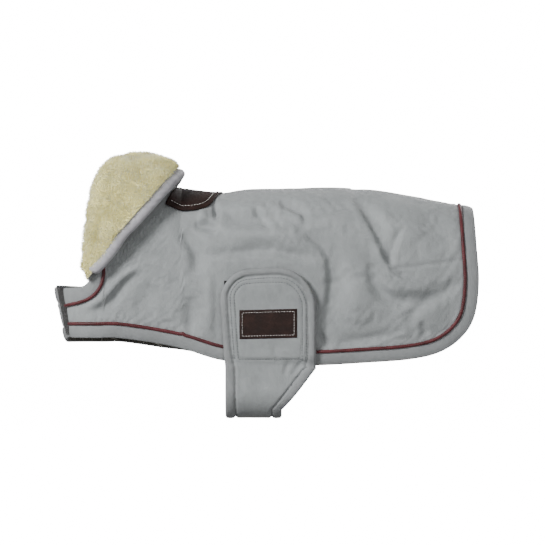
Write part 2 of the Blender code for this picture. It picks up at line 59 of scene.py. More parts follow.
# Shape of the coat
BACK_LENGTH = 0.346
NAPE_X = -0.098
NAPE_HEIGHT = 0.004
SHOULDER_REACH = 0.097
NECK_END_Z = -0.088
SIDE_DROP = 0.203
CHEST_DROP = 0.1705
SHOULDER_HALF_WIDTH = 0.056
RIB_HALF_WIDTH = 0.067
HIP_HALF_WIDTH = 0.057
ARCH_DEPTH = 0.075
HEM_TUCK = 0.62
NECK_RISE = 0.5
HINGE_X = NAPE_X - SHOULDER_REACH
CHEST_REACH = 0.058
CHEST_LEAN = 0.20
CHEST_TOP = -0.108
CHEST_ROUND = 0.0565  # girth of the chest for each radian
LEFT_END = HINGE_X - 0.0454
RIGHT_END = HINGE_X - 0.1509
LAP_DEPTH = 0.0080
LAP_START = math.radians(30)
FAR_HEM_DIP = 0.0065

# Layers and edges
SLAB = 0.0042  # shell and wadding
LINING_OUT = 0.0047
LINING = 0.0006
BAND_WIDTH = 0.017
PIPING_RADIUS = 0.0021
PIPING_PROUD = 0.0008
LINING_INSET = 0.0015
CURVE_SAMPLES = 400
SPLIT_U = HINGE_X + 0.0105  # behind this the cloth stays with the body

# Belly strap
STRAP_FRONT_X = -0.0455
STRAP_REAR_X = 0.021
FLAP_FRONT_X = -0.053
FLAP_REAR_X = 0.061
FLAP_TOP = -0.092
FRONT_CORNER = 0.032
REAR_CORNER = 0.042
TOP_ARCH = 0.0042
TOP_FALL = 0.0050
TOP_MIDDLE = 0.012
STRAP_BOTTOM = -0.2646
BELLY_RADIUS = 0.034
STRAP_THICKNESS = 0.0040
FLAP_OUT = 0.0071  # flap's outer face over the flank
STRAP_NARROWING = 0.053
HINGE_Z = -SIDE_DROP - 0.003
STRAP_BAND = 0.0085
BELLY_BAND = 0.0120  # binding's width under the belly
ANCHOR_TOP = HINGE_Z + 0.043
STRAP_BEND = (-0.194, -0.219)
SEWN_DEPTH = 0.0056  # strap's sewn end inside the right side


# ---------------------------------------------------------------- curves

def mix(a, b, part):
    return a + (b - a) * part


def smooth(value):
    value = np.clip(value, 0.0, 1.0)
    return value * value * (3 - 2 * value)


def resample(line, samples):
    steps = np.linalg.norm(np.diff(line, axis=0), axis=1)
    length = np.concatenate([[0.0], np.cumsum(steps)])
    wanted = np.linspace(0, length[-1], samples)
    return np.stack([np.interp(wanted, length, column) for column in line.T], axis=1)


def smooth_curve(points, samples=CURVE_SAMPLES):
    """Catmull-Rom curve through the points, evenly spaced along its length."""
    points = np.array(points, float)
    ends = np.vstack([2 * points[0] - points[1], points, 2 * points[-1] - points[-2]])
    t = np.linspace(0, 1, 24, endpoint=False)[:, None]
    dense = []
    for before, start, end, after in zip(ends[:-3], ends[1:-2], ends[2:-1], ends[3:]):
        dense.append(
            0.5 * (2 * start + (end - before) * t
                   + (2 * before - 5 * start + 4 * end - after) * t ** 2
                   + (3 * start - before - 3 * end + after) * t ** 3)
        )
    return resample(np.vstack(dense + [points[-1:]]), samples)


def arc_length(line):
    steps = np.linalg.norm(np.diff(line, axis=0), axis=1)
    return np.concatenate([[0.0], np.cumsum(steps)])


def rounded_edge(distance, radius):
    """How far a surface turns down at this distance from its edge."""
    return radius - np.sqrt(np.maximum(radius * radius - np.maximum(radius - distance, 0) ** 2, 0))


def texture_places(u, g, side):
    return np.stack([u, g * side], axis=-1).reshape(-1, 2)


def unit(vectors):
    return vectors / np.linalg.norm(vectors, axis=-1, keepdims=True)


def back_x(part):
    return NAPE_X + part * BACK_LENGTH


BACK_LINE = smooth_curve([
    (back_x(0.00), NAPE_HEIGHT),
    (back_x(0.13), -0.0005),
    (back_x(0.25), 0.0050),
    (back_x(0.45), 0.0060),
    (back_x(0.62), 0.0055),
    (back_x(0.74), 0.0005),
    (back_x(0.90), -0.0105),
    (back_x(1.02), -0.0175),
])
WIDTH_LINE = smooth_curve([
    (HINGE_X, SHOULDER_HALF_WIDTH),
    (NAPE_X, mix(SHOULDER_HALF_WIDTH, RIB_HALF_WIDTH, 0.45)),
    (back_x(0.35), RIB_HALF_WIDTH),
    (back_x(0.62), mix(RIB_HALF_WIDTH, HIP_HALF_WIDTH, 0.1)),
    (back_x(1.02), HIP_HALF_WIDTH),
])


# ---------------------------------------------------------------- the coat's surface

def back_height(x):
    ahead = NAPE_HEIGHT + NECK_RISE * (NAPE_X - x)
    return np.where(x < NAPE_X, ahead, np.interp(x, BACK_LINE[:, 0], BACK_LINE[:, 1]))


def half_width(x):
    return np.interp(x, WIDTH_LINE[:, 0], WIDTH_LINE[:, 1])


def arch_girth(x):
    return math.pi / 4 * (half_width(x) + ARCH_DEPTH)


def girth_at(x, z):
    x = np.maximum(x, HINGE_X)
    drop = back_height(x) - z
    inside = np.clip(1 - drop / ARCH_DEPTH, -1, 1)
    arch = arch_girth(x)
    return np.where(drop < ARCH_DEPTH, arch * np.arccos(inside) / (math.pi / 2), arch + drop - ARCH_DEPTH)


def surface(u, g, side):
    """Points of the outer face, without folds."""
    x = np.maximum(u, HINGE_X)
    arch = arch_girth(x)
    angle = np.clip(g / arch, -1, 1) * math.pi / 2
    below = np.maximum(g - arch, 0.0)
    tuck = HEM_TUCK * smooth((x - HINGE_X) / SHOULDER_REACH)
    z = back_height(x) - ARCH_DEPTH * (1 - np.cos(angle)) - below
    y = half_width(x) * np.sin(angle) - tuck * below ** 2
    turn = (HINGE_X - np.minimum(u, HINGE_X)) / CHEST_ROUND
    reach = CHEST_REACH - CHEST_LEAN * (CHEST_TOP - z)
    x = x - reach * np.sin(turn)
    y = y * np.cos(turn)
    return np.stack([x, side * y, z], axis=-1)


SLOPE_STEP = 3e-4


def surface_steps(u, g, side):
    """How the surface's points move over two small steps of u, and of g."""
    along = surface(u + SLOPE_STEP, g, side) - surface(u - SLOPE_STEP, g, side)
    across = surface(u, g + SLOPE_STEP, side) - surface(u, g - SLOPE_STEP, side)
    return along, across


def normals_at(u, g, side):
    along, across = surface_steps(u, g, side)
    return unit(np.cross(along, across) * np.asarray(side)[..., None])


def place(u, g, side, out=0.0):
    """Points this far outside the outer face."""
    u, g, side = np.broadcast_arrays(np.asarray(u, float), g, side)
    out = np.asarray(out) - lap(u, side)
    return surface(u, g, side) + normals_at(u, g, side) * np.broadcast_to(out, u.shape)[..., None]


def lap(u, side):
    """How far the right chest flap sinks under the left one."""
    turn = math.pi / 2 - (HINGE_X - u) / CHEST_ROUND
    return np.where((side > 0) & (u < HINGE_X), LAP_DEPTH * smooth((LAP_START - turn) / (2 * LAP_START)), 0.0)


def make_edge_line(side):
    """Finished edge of one side: along the chest and the hem, round the rear corner, up to the back line."""
    low = -SIDE_DROP
    start = LEFT_END if side < 0 else RIGHT_END
    points = [
        (start, -CHEST_DROP),
        (mix(start, HINGE_X, 0.5), -CHEST_DROP),
        (HINGE_X, -CHEST_DROP),
        (HINGE_X + 0.29 * SHOULDER_REACH, -CHEST_DROP - 0.0005),
        (NAPE_X - 0.05 * SHOULDER_REACH, mix(-CHEST_DROP, low, 0.34)),
        (back_x(0.133), mix(-CHEST_DROP, low, 0.80)),
        (back_x(0.30), low),
        (back_x(0.46), low),
        (back_x(0.624), low + 0.003),
        (back_x(0.775), low + 0.007),
        (back_x(0.876), low + 0.015),
        (back_x(0.951), low + 0.032),
        (back_x(0.997), low + 0.057),
        (back_x(1.013), low + 0.097),
        (back_x(1.006), low + 0.143),
        (back_x(1.000), float(back_height(back_x(1.0)))),
    ]
    line = smooth_curve(points, EDGE_SAMPLES)
    if side > 0:
        dip = smooth((line[:, 0] - RIGHT_END - 0.03) / 0.06) * (1 - smooth((line[:, 0] + 0.13) / 0.08))
        line[:, 1] -= FAR_HEM_DIP * dip
    return np.stack([line[:, 0], girth_at(line[:, 0], line[:, 1])], axis=1)


EDGE_SAMPLES = 1200
EDGE = {side: make_edge_line(side) for side in (-1, 1)}


def inset_edge(side, inset):
    """The edge line moved this far in over the surface."""
    u, g = EDGE[side].T
    along_u, along_g = (change / (2 * SLOPE_STEP) for change in surface_steps(u, g, side))
    tangent = np.gradient(surface(u, g, side), axis=0)
    inward = unit(np.cross(np.cross(along_u, along_g), tangent))
    e, f, h = (along_u ** 2).sum(1), (along_u * along_g).sum(1), (along_g ** 2).sum(1)
    pull_u, pull_g = (along_u * inward).sum(1), (along_g * inward).sum(1)
    whole = e * h - f * f
    step_u, step_g = (h * pull_u - f * pull_g) / whole, (e * pull_g - f * pull_u) / whole
    if step_g[len(step_g) // 3] > 0:  # a place on the hem, where inward is up
        step_u, step_g = -step_u, -step_g
    moved = EDGE[side] + np.asarray(inset)[..., None] * np.stack([step_u, step_g], axis=1)
    moved[-1, 1] = 0.0
    return moved


CORNER_TURN = math.radians(50)


def corner_index(side):
    """Sample of the edge line where the hem turns up into the rear edge."""
    tangent = unit(np.gradient(EDGE[side], axis=0))
    return int(np.argmax((tangent[:, 0] < math.cos(CORNER_TURN)) & (EDGE[side][:, 0] > 0)))


def chest_end(side):
    return LEFT_END if side < 0 else RIGHT_END


def piping_top(side):
    """Line of the upper chest piping, from the flap's end to the collar's end: u and z."""
    return smooth_curve([
        (chest_end(side), -0.1325),
        (HINGE_X - 0.023, -0.1285),
        (HINGE_X - 0.008, -0.1225),
        (HINGE_X + 0.002, -0.1120),
        (HINGE_X + 0.0065, -0.0990),
        (HINGE_X + 0.0070, -0.0850),
    ], 160)


def edge_top(side):
    """Upper edge of the chest flap, from the flap's end to the collar's end: u and z."""
    return smooth_curve([
        (chest_end(side), -0.1120),
        (HINGE_X - 0.021, -0.1100),
        (HINGE_X - 0.012, -0.1050),
        (HINGE_X - 0.004, -0.0950),
        (HINGE_X + 0.003, -0.0850),
    ], 160)


def neck_z(u):
    """Height of the neck seam, a straight line in side view."""
    return NAPE_HEIGHT + (NECK_END_Z - NAPE_HEIGHT) * (NAPE_X - u) / SHOULDER_REACH


def top_line(chest_line):
    """Front part of the panel's upper boundary, up to the nape: u and g."""
    seam_u = np.linspace(chest_line[-1, 0] + 0.001, NAPE_X, 120)
    line = np.vstack([chest_line, np.stack([seam_u, neck_z(seam_u)], axis=1)])
    return np.stack([line[:, 0], girth_at(line[:, 0], line[:, 1])], axis=1)


CHEST_COLUMNS = {-1: 36, 1: 84}
NECK_COLUMNS = 60
BACK_COLUMNS = 190
PANEL_ROWS = 100


def panel_grid(side, chest_line, inset):
    """Places of one side: rows from the back line to the hem, columns from the chest to the rear."""
    hem_all = inset_edge(side, inset)
    corner = corner_index(side)
    hem, rear = hem_all[:corner + 1], hem_all[corner:][::-1]
    front = top_line(chest_line)
    rear_u = rear[0, 0]
    parts = (
        np.linspace(0, 1, CHEST_COLUMNS[side], endpoint=False),
        np.linspace(0, 1, NECK_COLUMNS, endpoint=False),
        np.linspace(0, 1, BACK_COLUMNS),
    )
    top_u, low_u = (
        np.concatenate([mix(chest_end(side), SPLIT_U, parts[0]), mix(SPLIT_U, NAPE_X, parts[1]),
                        mix(NAPE_X, end, parts[2])])
        for end in (rear_u, hem[-1, 0])
    )
    top_g = np.where(top_u < NAPE_X - 1e-6, np.interp(top_u, front[:, 0], front[:, 1]), 0.0)
    top = np.stack([top_u, top_g], axis=1)
    low = np.stack([low_u, np.interp(low_u, hem[:, 0], hem[:, 1])], axis=1)
    low[-1] = hem[-1]
    v = np.linspace(0, 1, PANEL_ROWS)
    rear = resample(rear, PANEL_ROWS)
    first = np.stack([mix(top[0], low[0], part) for part in v])
    s = arc_length(low) / arc_length(low)[-1]
    grid = np.empty((PANEL_ROWS, len(s), 2))
    for j in range(PANEL_ROWS):
        ruled = mix(top, low, v[j])
        sides = mix(first[j], rear[j], s[:, None])
        corners = mix(mix(top[0], low[0], v[j]), mix(top[-1], low[-1], v[j]), s[:, None])
        grid[j] = ruled + sides - corners
    return grid


# ---------------------------------------------------------------- folds of the cloth

# Valleys and ridges on the left flank: points in side view, depth (negative stands out), width ahead, width
# behind.
FOLDS = [
    ([(-0.097, -0.046), (-0.086, -0.060), (-0.080, -0.072), (-0.080, -0.096)], 0.0030, 0.0060, 0.0100),
    ([(-0.058, -0.012), (-0.056, -0.020), (-0.056, -0.030)], 0.0026, 0.0035, 0.0030),
    ([(-0.082, -0.036), (-0.068, -0.038), (-0.053, -0.043)], 0.0024, 0.0060, 0.0040),
    ([(-0.078, -0.027), (-0.066, -0.027)], -0.0016, 0.0070, 0.0070),
    ([(-0.050, -0.026), (-0.020, -0.031), (0.010, -0.029), (0.040, -0.034)], 0.0024, 0.0110, 0.0060),
    ([(-0.060, -0.047), (-0.020, -0.047), (0.020, -0.048), (0.045, -0.054)], -0.0013, 0.0080, 0.0100),
    ([(-0.012, -0.016), (-0.002, -0.028), (0.007, -0.041)], 0.0022, 0.0050, 0.0030),
    ([(0.016, -0.010), (0.034, -0.017), (0.046, -0.023), (0.048, -0.037)], 0.0026, 0.0030, 0.0060),
    ([(0.048, -0.026), (0.076, -0.019), (0.106, -0.014)], 0.0019, 0.0060, 0.0090),
    ([(-0.064, -0.073), (-0.030, -0.070), (0.010, -0.068), (0.030, -0.073), (0.063, -0.077)],
     0.0022, 0.0050, 0.0080),
    ([(0.046, -0.045), (0.064, -0.058), (0.077, -0.074), (0.081, -0.100), (0.078, -0.128), (0.073, -0.150)],
     0.0042, 0.0060, 0.0130),
    ([(0.107, -0.001), (0.118, -0.018), (0.131, -0.040), (0.141, -0.062), (0.147, -0.086)],
     0.0038, 0.0050, 0.0110),
    ([(0.147, -0.088), (0.150, -0.070), (0.155, -0.055), (0.163, -0.040)], 0.0022, 0.0030, 0.0050),
    ([(0.129, -0.062), (0.138, -0.078), (0.149, -0.093), (0.163, -0.106), (0.186, -0.113)],
     -0.0026, 0.0060, 0.0060),
    ([(0.125, -0.080), (0.129, -0.100), (0.140, -0.119), (0.157, -0.127), (0.185, -0.124)],
     0.0032, 0.0080, 0.0070),
    ([(0.146, -0.090), (0.156, -0.096), (0.166, -0.097)], 0.0014, 0.0024, 0.0024),
    ([(0.169, -0.158), (0.176, -0.140), (0.194, -0.125), (0.216, -0.112), (0.229, -0.102)],
     0.0020, 0.0070, 0.0080),
    ([(0.184, -0.150), (0.188, -0.160), (0.191, -0.168)], 0.0012, 0.0040, 0.0040),
    ([(0.062, -0.160), (0.068, -0.172), (0.078, -0.184)], 0.0026, 0.0040, 0.0050),
    ([(0.104, -0.104), (0.110, -0.130), (0.112, -0.155)], -0.0016, 0.0120, 0.0140),
    ([(0.085, -0.176), (0.120, -0.172), (0.155, -0.166)], 0.0012, 0.0060, 0.0060),
    ([(-0.150, -0.088), (-0.170, -0.102), (-0.188, -0.122), (-0.206, -0.134)], -0.0018, 0.0040, 0.0050),
    ([(-0.142, -0.092), (-0.164, -0.108), (-0.182, -0.130), (-0.205, -0.142)], 0.0012, 0.0050, 0.0080),
    ([(-0.087, -0.120), (-0.086, -0.145), (-0.087, -0.176)], 0.0018, 0.0070, 0.0090),
    ([(-0.060, -0.095), (-0.062, -0.140), (-0.060, -0.175)], -0.0012, 0.0090, 0.0060),
    ([(-0.134, -0.105), (-0.140, -0.128), (-0.150, -0.146)], 0.0010, 0.0120, 0.0120),
    ([(0.190, -0.020), (0.205, -0.045), (0.225, -0.062)], 0.0012, 0.0140, 0.0160),
]
FAR_SIDE_SHIFT = 0.012
FOLD_GAIN = 3.1
VALLEY = 0.0082  # deepest and highest that a fold may reach
RIDGE = 0.0046
INNER_SHARE = 0.75  # how much of a fold the inner layers follow
DART = ((0.147, -0.0905), (0.233, -0.0790))
DART_DEPTH = 0.0016
DART_WIDTH = 0.0022


def stroke(x, z, points, depth, ahead, behind):
    """Height of one fold at each place, from its nearest point on the fold's line."""
    line = smooth_curve(points, 24)
    length = arc_length(line) / arc_length(line)[-1]
    best = np.full(x.shape, 1e9)
    signed = np.zeros(x.shape)
    part = np.zeros(x.shape)
    for k in range(len(line) - 1):
        ax, az = line[k]
        dx, dz = line[k + 1] - line[k]
        t = np.clip(((x - ax) * dx + (z - az) * dz) / (dx * dx + dz * dz), 0, 1)
        px, pz = x - ax - t * dx, z - az - t * dz
        gap = np.hypot(px, pz)
        near = gap < best
        best = np.where(near, gap, best)
        signed = np.where(near, np.sign(px * dz - pz * dx) * gap, signed)
        part = np.where(near, mix(length[k], length[k + 1], t), part)
    width = np.where(signed > 0, ahead, behind)
    taper = np.sin(np.pi * np.clip(part, 0.02, 0.98)) ** 0.7
    return -depth * taper * np.exp(-(best / width) ** 2)


def noise_field(points, scale, seed):
    shift = Vector((seed * 7.31, seed * 3.17, seed * 5.03))
    flat = points.reshape(-1, 3)
    values = [noise.noise(Vector(point) * scale + shift) for point in flat]
    return np.array(values).reshape(points.shape[:-1])


def strap_cover_mask(x, z, front, rear, top):
    """1 on the flank under the strap's end, between these lines, and 0 away from it."""
    fade = 0.012
    return smooth((x - front) / fade) * (1 - smooth((x - rear) / fade)) * smooth((top - z) / fade)


def fold_height(points, side):
    """How far the folds lift each point of one side."""
    x, z = points[..., 0], points[..., 2]
    shift = FAR_SIDE_SHIFT * smooth(np.abs(points[..., 1]) / 0.03) if side > 0 else 0.0
    height = np.zeros(x.shape)
    for line, depth, ahead, behind in FOLDS:
        height += FOLD_GAIN * stroke(x + shift, z, line, depth, ahead, behind)
    height += 0.0016 * noise_field(points, 13, 3) + 0.0004 * noise_field(points, 42, 5)
    height *= 1 - (1.0 if side < 0 else 0.5) * strap_cover_mask(x, z, -0.066, 0.060, -0.084)
    return np.where(height < 0, -VALLEY * np.tanh(-height / VALLEY), RIDGE * np.tanh(height / RIDGE))


def seam_height(grid, points, neck_end_column):
    """Small puckers and the roll of the panel along its seams. Distances are along rows and columns."""
    from_top = arc_table(points, 0)
    along_row = arc_table(points, 1)
    from_hem = from_top[-1:] - from_top
    from_rear = along_row[:, -1:] - along_row
    columns = np.arange(points.shape[1])[None, :]
    is_neck = columns <= neck_end_column
    wave = noise_field(points, 90, 11)
    hem_pucker = np.sin(grid[..., 0] / HEM_PUCKER * 2 * np.pi + 5 * wave) * np.exp(-from_hem / PUCKER_REACH)
    rear_pucker = np.sin(grid[..., 1] / REAR_PUCKER * 2 * np.pi + 5 * wave)
    rear_pucker = rear_pucker * np.exp(-from_rear / PUCKER_REACH)
    roll = -ROLL_DEPTH * (np.exp(-from_hem / ROLL_REACH) + np.exp(-from_rear / ROLL_REACH))
    height = PUCKER_DEPTH * (hem_pucker + rear_pucker) + roll
    seam = arc_length(points[0])[None, :]
    gather = np.sin(seam / NECK_GATHER * 2 * np.pi + 4.0 * noise_field(points, 60, 17))
    at_neck = is_neck * np.exp(-from_top / 0.0110)
    chest = columns < CHEST_COLUMNS[-1]
    height += at_neck * np.where(chest, 0.0002, 0.0013) * gather
    height += -ROLL_DEPTH * is_neck * np.exp(-from_top / ROLL_REACH)
    return height


HEM_PUCKER = 0.0085  # from one pucker or gather to the next
REAR_PUCKER = 0.0105
NECK_GATHER = 0.0052
PUCKER_DEPTH = 0.00035
PUCKER_REACH = 0.007
ROLL_DEPTH = 0.0012
ROLL_REACH = 0.0022


def arc_table(points, axis):
    steps = np.linalg.norm(np.diff(points, axis=axis), axis=-1)
    pad = [(0, 0), (0, 0)]
    pad[axis] = (1, 0)
    return np.cumsum(np.pad(steps, pad), axis=axis)


def dart_height(points):
    """The hip dart: a fine seam line that runs to the rear edge from the point of the dart."""
    line = np.array(DART)
    x, z = points[..., 0], points[..., 2]
    d = line[1] - line[0]
    t = np.clip(((x - line[0, 0]) * d[0] + (z - line[0, 1]) * d[1]) / (d @ d), 0, 1)
    gap = np.hypot(x - line[0, 0] - t * d[0], z - line[0, 1] - t * d[1])
    return -DART_DEPTH * np.exp(-(gap / DART_WIDTH) ** 2)


# ---------------------------------------------------------------- meshes

def new_mesh_object(name, points, faces, materials, normals=None, places=None, face_slots=None):
    mesh = bpy.data.meshes.new(name)
    mesh.from_pydata([tuple(map(float, point)) for point in points], [], faces)
    for made in materials:
        mesh.materials.append(made)
    if face_slots is not None:
        mesh.polygons.foreach_set("material_index", np.array(face_slots, np.int32))
    mesh.shade_smooth()
    if places is not None:
        layer = mesh.uv_layers.new(name="UVMap")
        corner = np.empty(len(mesh.loops), np.int32)
        mesh.loops.foreach_get("vertex_index", corner)
        layer.data.foreach_set("uv", np.asarray(places, np.float32)[corner].ravel())
    obj = bpy.data.objects.new(name, mesh)
    bpy.context.scene.collection.objects.link(obj)
    if normals is not None:
        mesh.normals_split_custom_set_from_vertices([tuple(map(float, normal)) for normal in normals])
    return obj


def grid_quads(rows, columns, offset=0):
    i = np.arange(rows - 1)[:, None] * columns + np.arange(columns - 1)[None, :] + offset
    return np.stack([i, i + 1, i + columns + 1, i + columns], axis=-1).reshape(-1, 4)


def vertex_normals(points, quads):
    a, b, c, d = (points[quads[:, k]] for k in range(4))
    face = np.cross(c - a, d - b)
    total = np.zeros_like(points)
    for k in range(4):
        np.add.at(total, quads[:, k], face)
    return total / np.maximum(np.linalg.norm(total, axis=1, keepdims=True), 1e-12)


def border_edges(quads):
    """Edges used by one face only, in that face's direction."""
    edges = np.concatenate([quads[:, [k, (k + 1) % 4]] for k in range(4)])
    edges = edges[edges[:, 0] != edges[:, 1]]
    keys = np.sort(edges, axis=1)
    _, index, counts = np.unique(keys, axis=0, return_index=True, return_counts=True)
    return edges[index[counts == 1]]


def slab(name, outer, inner, quads, material, places, normals_out=None, normals_in=None, inner_material=None):
    """A closed layer between two matching surfaces. Only the points that the faces use are kept."""
    used = np.unique(quads)
    new_index = np.full(len(outer), -1)
    new_index[used] = np.arange(len(used))
    q = new_index[quads]
    count = len(used)
    outer, inner, places = outer[used], inner[used], places[used]
    normals_out = vertex_normals(outer, q) if normals_out is None else normals_out[used]
    normals_in = -normals_out if normals_in is None else normals_in[used]
    rim = [(b, a, a + count, b + count) for a, b in border_edges(q).tolist()]
    faces = q.tolist() + (q[:, ::-1] + count).tolist() + rim
    slots = [0] * len(q) + [1 if inner_material else 0] * len(q) + [0] * len(rim)
    return new_mesh_object(
        name, np.vstack([outer, inner]), faces, [m for m in (material, inner_material) if m],
        np.vstack([normals_out, normals_in]), np.vstack([places, places]), slots)


def ring_skin(name, rings, material, places=None, whole_turn=None):
    """A closed skin through matching rings of points."""
    rings = np.array(rings)
    count, around = rings.shape[:2]
    step = np.arange(count - 1)[:, None] * around
    a = step + np.arange(around)[None, :]
    b = step + (np.arange(around)[None, :] + 1) % around
    quads = np.stack([a, b, b + around, a + around], axis=-1).reshape(-1, 4)
    points = rings.reshape(-1, 3)
    volume = sum(np.linalg.det(points[quads[:, corners]]).sum() for corners in ([0, 1, 2], [0, 2, 3]))
    faces = quads.tolist() + [list(range(around))[::-1], list(range((count - 1) * around, count * around))]
    if volume < 0:
        faces = [face[::-1] for face in faces]
    obj = new_mesh_object(name, points, faces, [material], places=places)
    if whole_turn is not None:
        layer = obj.data.uv_layers[0]
        uv = np.empty(len(obj.data.loops) * 2, np.float32)
        layer.data.foreach_get("uv", uv)
        corners = uv.reshape(-1, 2)[:len(quads) * 4].reshape(count - 1, around, 4, 2)
        second = slice(1, 3)  # the corners past the seam, the same ones when the face is reversed
        corners[:, -1, second, 1] += whole_turn
        layer.data.foreach_set("uv", uv)
    obj.data.set_sharp_from_angle(angle=math.radians(50))
    return obj


def tube(name, centres, radius, material, sides=12):
    """A round cord along a line, with its texture places along and around it."""
    tangent = unit(np.gradient(centres, axis=0))
    up = np.array([0.0, 0.0, 1.0])
    normal = unit(np.cross(tangent[0], up if abs(tangent[0] @ up) < 0.9 else np.array([0.0, 1.0, 0.0])))
    turns = np.linspace(0, 2 * math.pi, sides, endpoint=False)
    rings = []
    for centre, along in zip(centres, tangent):
        normal = unit(normal - along * (normal @ along))
        side = np.cross(along, normal)
        rings.append(centre + radius * (np.outer(np.cos(turns), normal) + np.outer(np.sin(turns), side)))
    round_part = np.linspace(0, 1, sides, endpoint=False)
    places = np.stack(np.meshgrid(round_part, arc_length(centres)), axis=-1)[..., ::-1]
    return ring_skin(name, rings, material, places.reshape(-1, 2), 1.0)


# One stitch: along its length, how thick it is and how high it lies, as shares of its length and radius.
STITCH_ALONG = np.array([-0.5, -0.3, 0.0, 0.3, 0.5])
STITCH_SIZE = np.array([0.35, 0.9, 1.0, 0.9, 0.35])
STITCH_LIFT = (-0.25, 0.75, 0.75, 0.75, -0.25)
STITCH_SIDES = 6


def stitches(name, line, normals, pitch, length, radius, material):
    """A row of separate thread stitches that lie along a line on a surface."""
    run = arc_length(line)
    points, faces = [], []
    for centre in np.arange(pitch / 2, run[-1], pitch):
        stations = centre + STITCH_ALONG * length
        size = STITCH_SIZE * radius
        at, up = (np.stack([np.interp(stations, run, column) for column in values.T], axis=1)
                  for values in (line, normals))
        up = unit(up)
        across = unit(np.cross(up, at[-1] - at[0]))
        start = len(points)
        for k, lift in enumerate(STITCH_LIFT):
            for turn in np.linspace(0, 2 * math.pi, STITCH_SIDES, endpoint=False):
                height = math.sin(turn) * size[k] + radius * lift
                points.append(at[k] + across[k] * math.cos(turn) * size[k] + up[k] * height)
        for ring in range(start, len(points) - STITCH_SIDES, STITCH_SIDES):
            for j in range(STITCH_SIDES):
                a, b = ring + j, ring + (j + 1) % STITCH_SIDES
                faces.append((b, a, a + STITCH_SIDES, b + STITCH_SIDES))
        faces.append(tuple(range(start, start + STITCH_SIDES)))
        faces.append(tuple(range(len(points) - STITCH_SIDES, len(points)))[::-1])
    return new_mesh_object(name, points, faces, [material])


def read_vectors(mesh, key):
    """The mesh's points or normals, one row for each vertex."""
    values = np.empty(len(mesh.vertices) * 3)
    mesh.vertices.foreach_get(key, values)
    return values.reshape(-1, 3)


def stand_in(piece, nodes, body=None):
    """Hides the solids that a piece stands in for, and fixes the piece to a body if one is given."""
    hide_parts(*nodes)
    if body:
        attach(piece, body)


# ---------------------------------------------------------------- body and chest panels

def panel_mesh(chest_line_of, inset):
    """Places, sides and faces of the whole panel, joined along the back line, and each face's side or 0."""
    places, sides, quads, owners = [], [], [], []
    base = {}
    for side in (-1, 1):
        grid = panel_grid(side, chest_line_of(side), inset)
        rows, columns = grid.shape[:2]
        index = np.arange(rows * columns).reshape(rows, columns) + sum(len(p) for p in places)
        if side > 0:
            index[0, -BACK_COLUMNS:] = base[-1][0, -BACK_COLUMNS:]
        base[side] = index
        q = np.stack([index[:-1, :-1], index[:-1, 1:], index[1:, 1:], index[1:, :-1]], axis=-1)
        owner = np.broadcast_to(np.arange(columns - 1) < CHEST_COLUMNS[side], (rows - 1, columns - 1)) * side
        q = q.reshape(-1, 4)
        quads.append(q if side > 0 else q[:, ::-1])
        owners.append(owner.reshape(-1))
        places.append(grid.reshape(-1, 2))
        sides.append(np.full(rows * columns, side))
    return np.vstack(places), np.concatenate(sides), np.vstack(quads), np.concatenate(owners), base


OWNER_NAMES = {0: "coat", -1: "left", 1: "right"}


def fasten(obj, owner):
    """Body cloth stays with the coat. Chest cloth is fixed to no body; its placement is baked into its
    points.
    """
    if owner == 0:
        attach(obj, "coat")
        return
    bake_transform(obj)


def fold_parts(places, base, inset):
    """Folds at every place of a panel, and the part that the wadding's inner face and the lining follow."""
    folds, inner = np.zeros(len(places)), np.zeros(len(places))
    for side in (-1, 1):
        index = base[side]
        grid = places[index]
        u = grid[..., 0]
        points = surface(u, grid[..., 1], side)
        down, along = arc_table(points, 0), arc_table(points, 1)
        from_band = np.minimum(down[-1:] - down, along[:, -1:] - along) + inset - BAND_WIDTH
        raised = fold_height(points, side)
        if side > 0:  # calmer on the far chest flap, which laps under the near one
            raised *= smooth((u - RIGHT_END) / 0.02) * (1 - 0.85 * smooth((HINGE_X - 0.03 - u) / 0.04))
        folds[index] = raised * mix(0.3, 1.0, smooth(from_band / 0.010))
        inner[index] = INNER_SHARE * raised * smooth(from_band / 0.020)
    return folds, inner


def panel_heights(places, base, folds):
    """Folds, puckers and the dart's seam at every place of the shell."""
    height = folds.copy()
    for side in (-1, 1):
        grid = places[base[side]]
        points = surface(grid[..., 0], grid[..., 1], side)
        neck_end = CHEST_COLUMNS[side] + NECK_COLUMNS
        height[base[side]] += seam_height(grid, points, neck_end) + dart_height(points)
    return height


THINNEST = 0.0010  # what a valley leaves of the shell and wadding


def make_panels():
    inset = BAND_WIDTH + 0.0004
    places, sides, quads, owners, base = panel_mesh(piping_top, inset)
    folds, followed = fold_parts(places, base, inset)
    height = panel_heights(places, base, folds)
    height += simulated_height(places, base)
    room = SLAB - THINNEST
    pressed = height - followed
    height = followed + np.where(pressed < 0, -room * np.tanh(-pressed / room), pressed)
    u, g = places.T
    outer = place(u, g, sides, height)
    inner = place(u, g, sides, -SLAB + followed)
    normals = vertex_normals(outer, quads)
    for owner, suffix in OWNER_NAMES.items():
        piece = slab(f"shell_{suffix}", outer, inner, quads[owners == owner], shell_cloth(),
                     texture_places(u, g, sides), normals, inner_material=wadding_cloth())
        chest_nodes = [f"chest_shell_{suffix}", f"chest_padding_{suffix}"]
        stand_in(piece, chest_nodes if owner else ["outer_shell", "body_padding"])
        fasten(piece, owner)


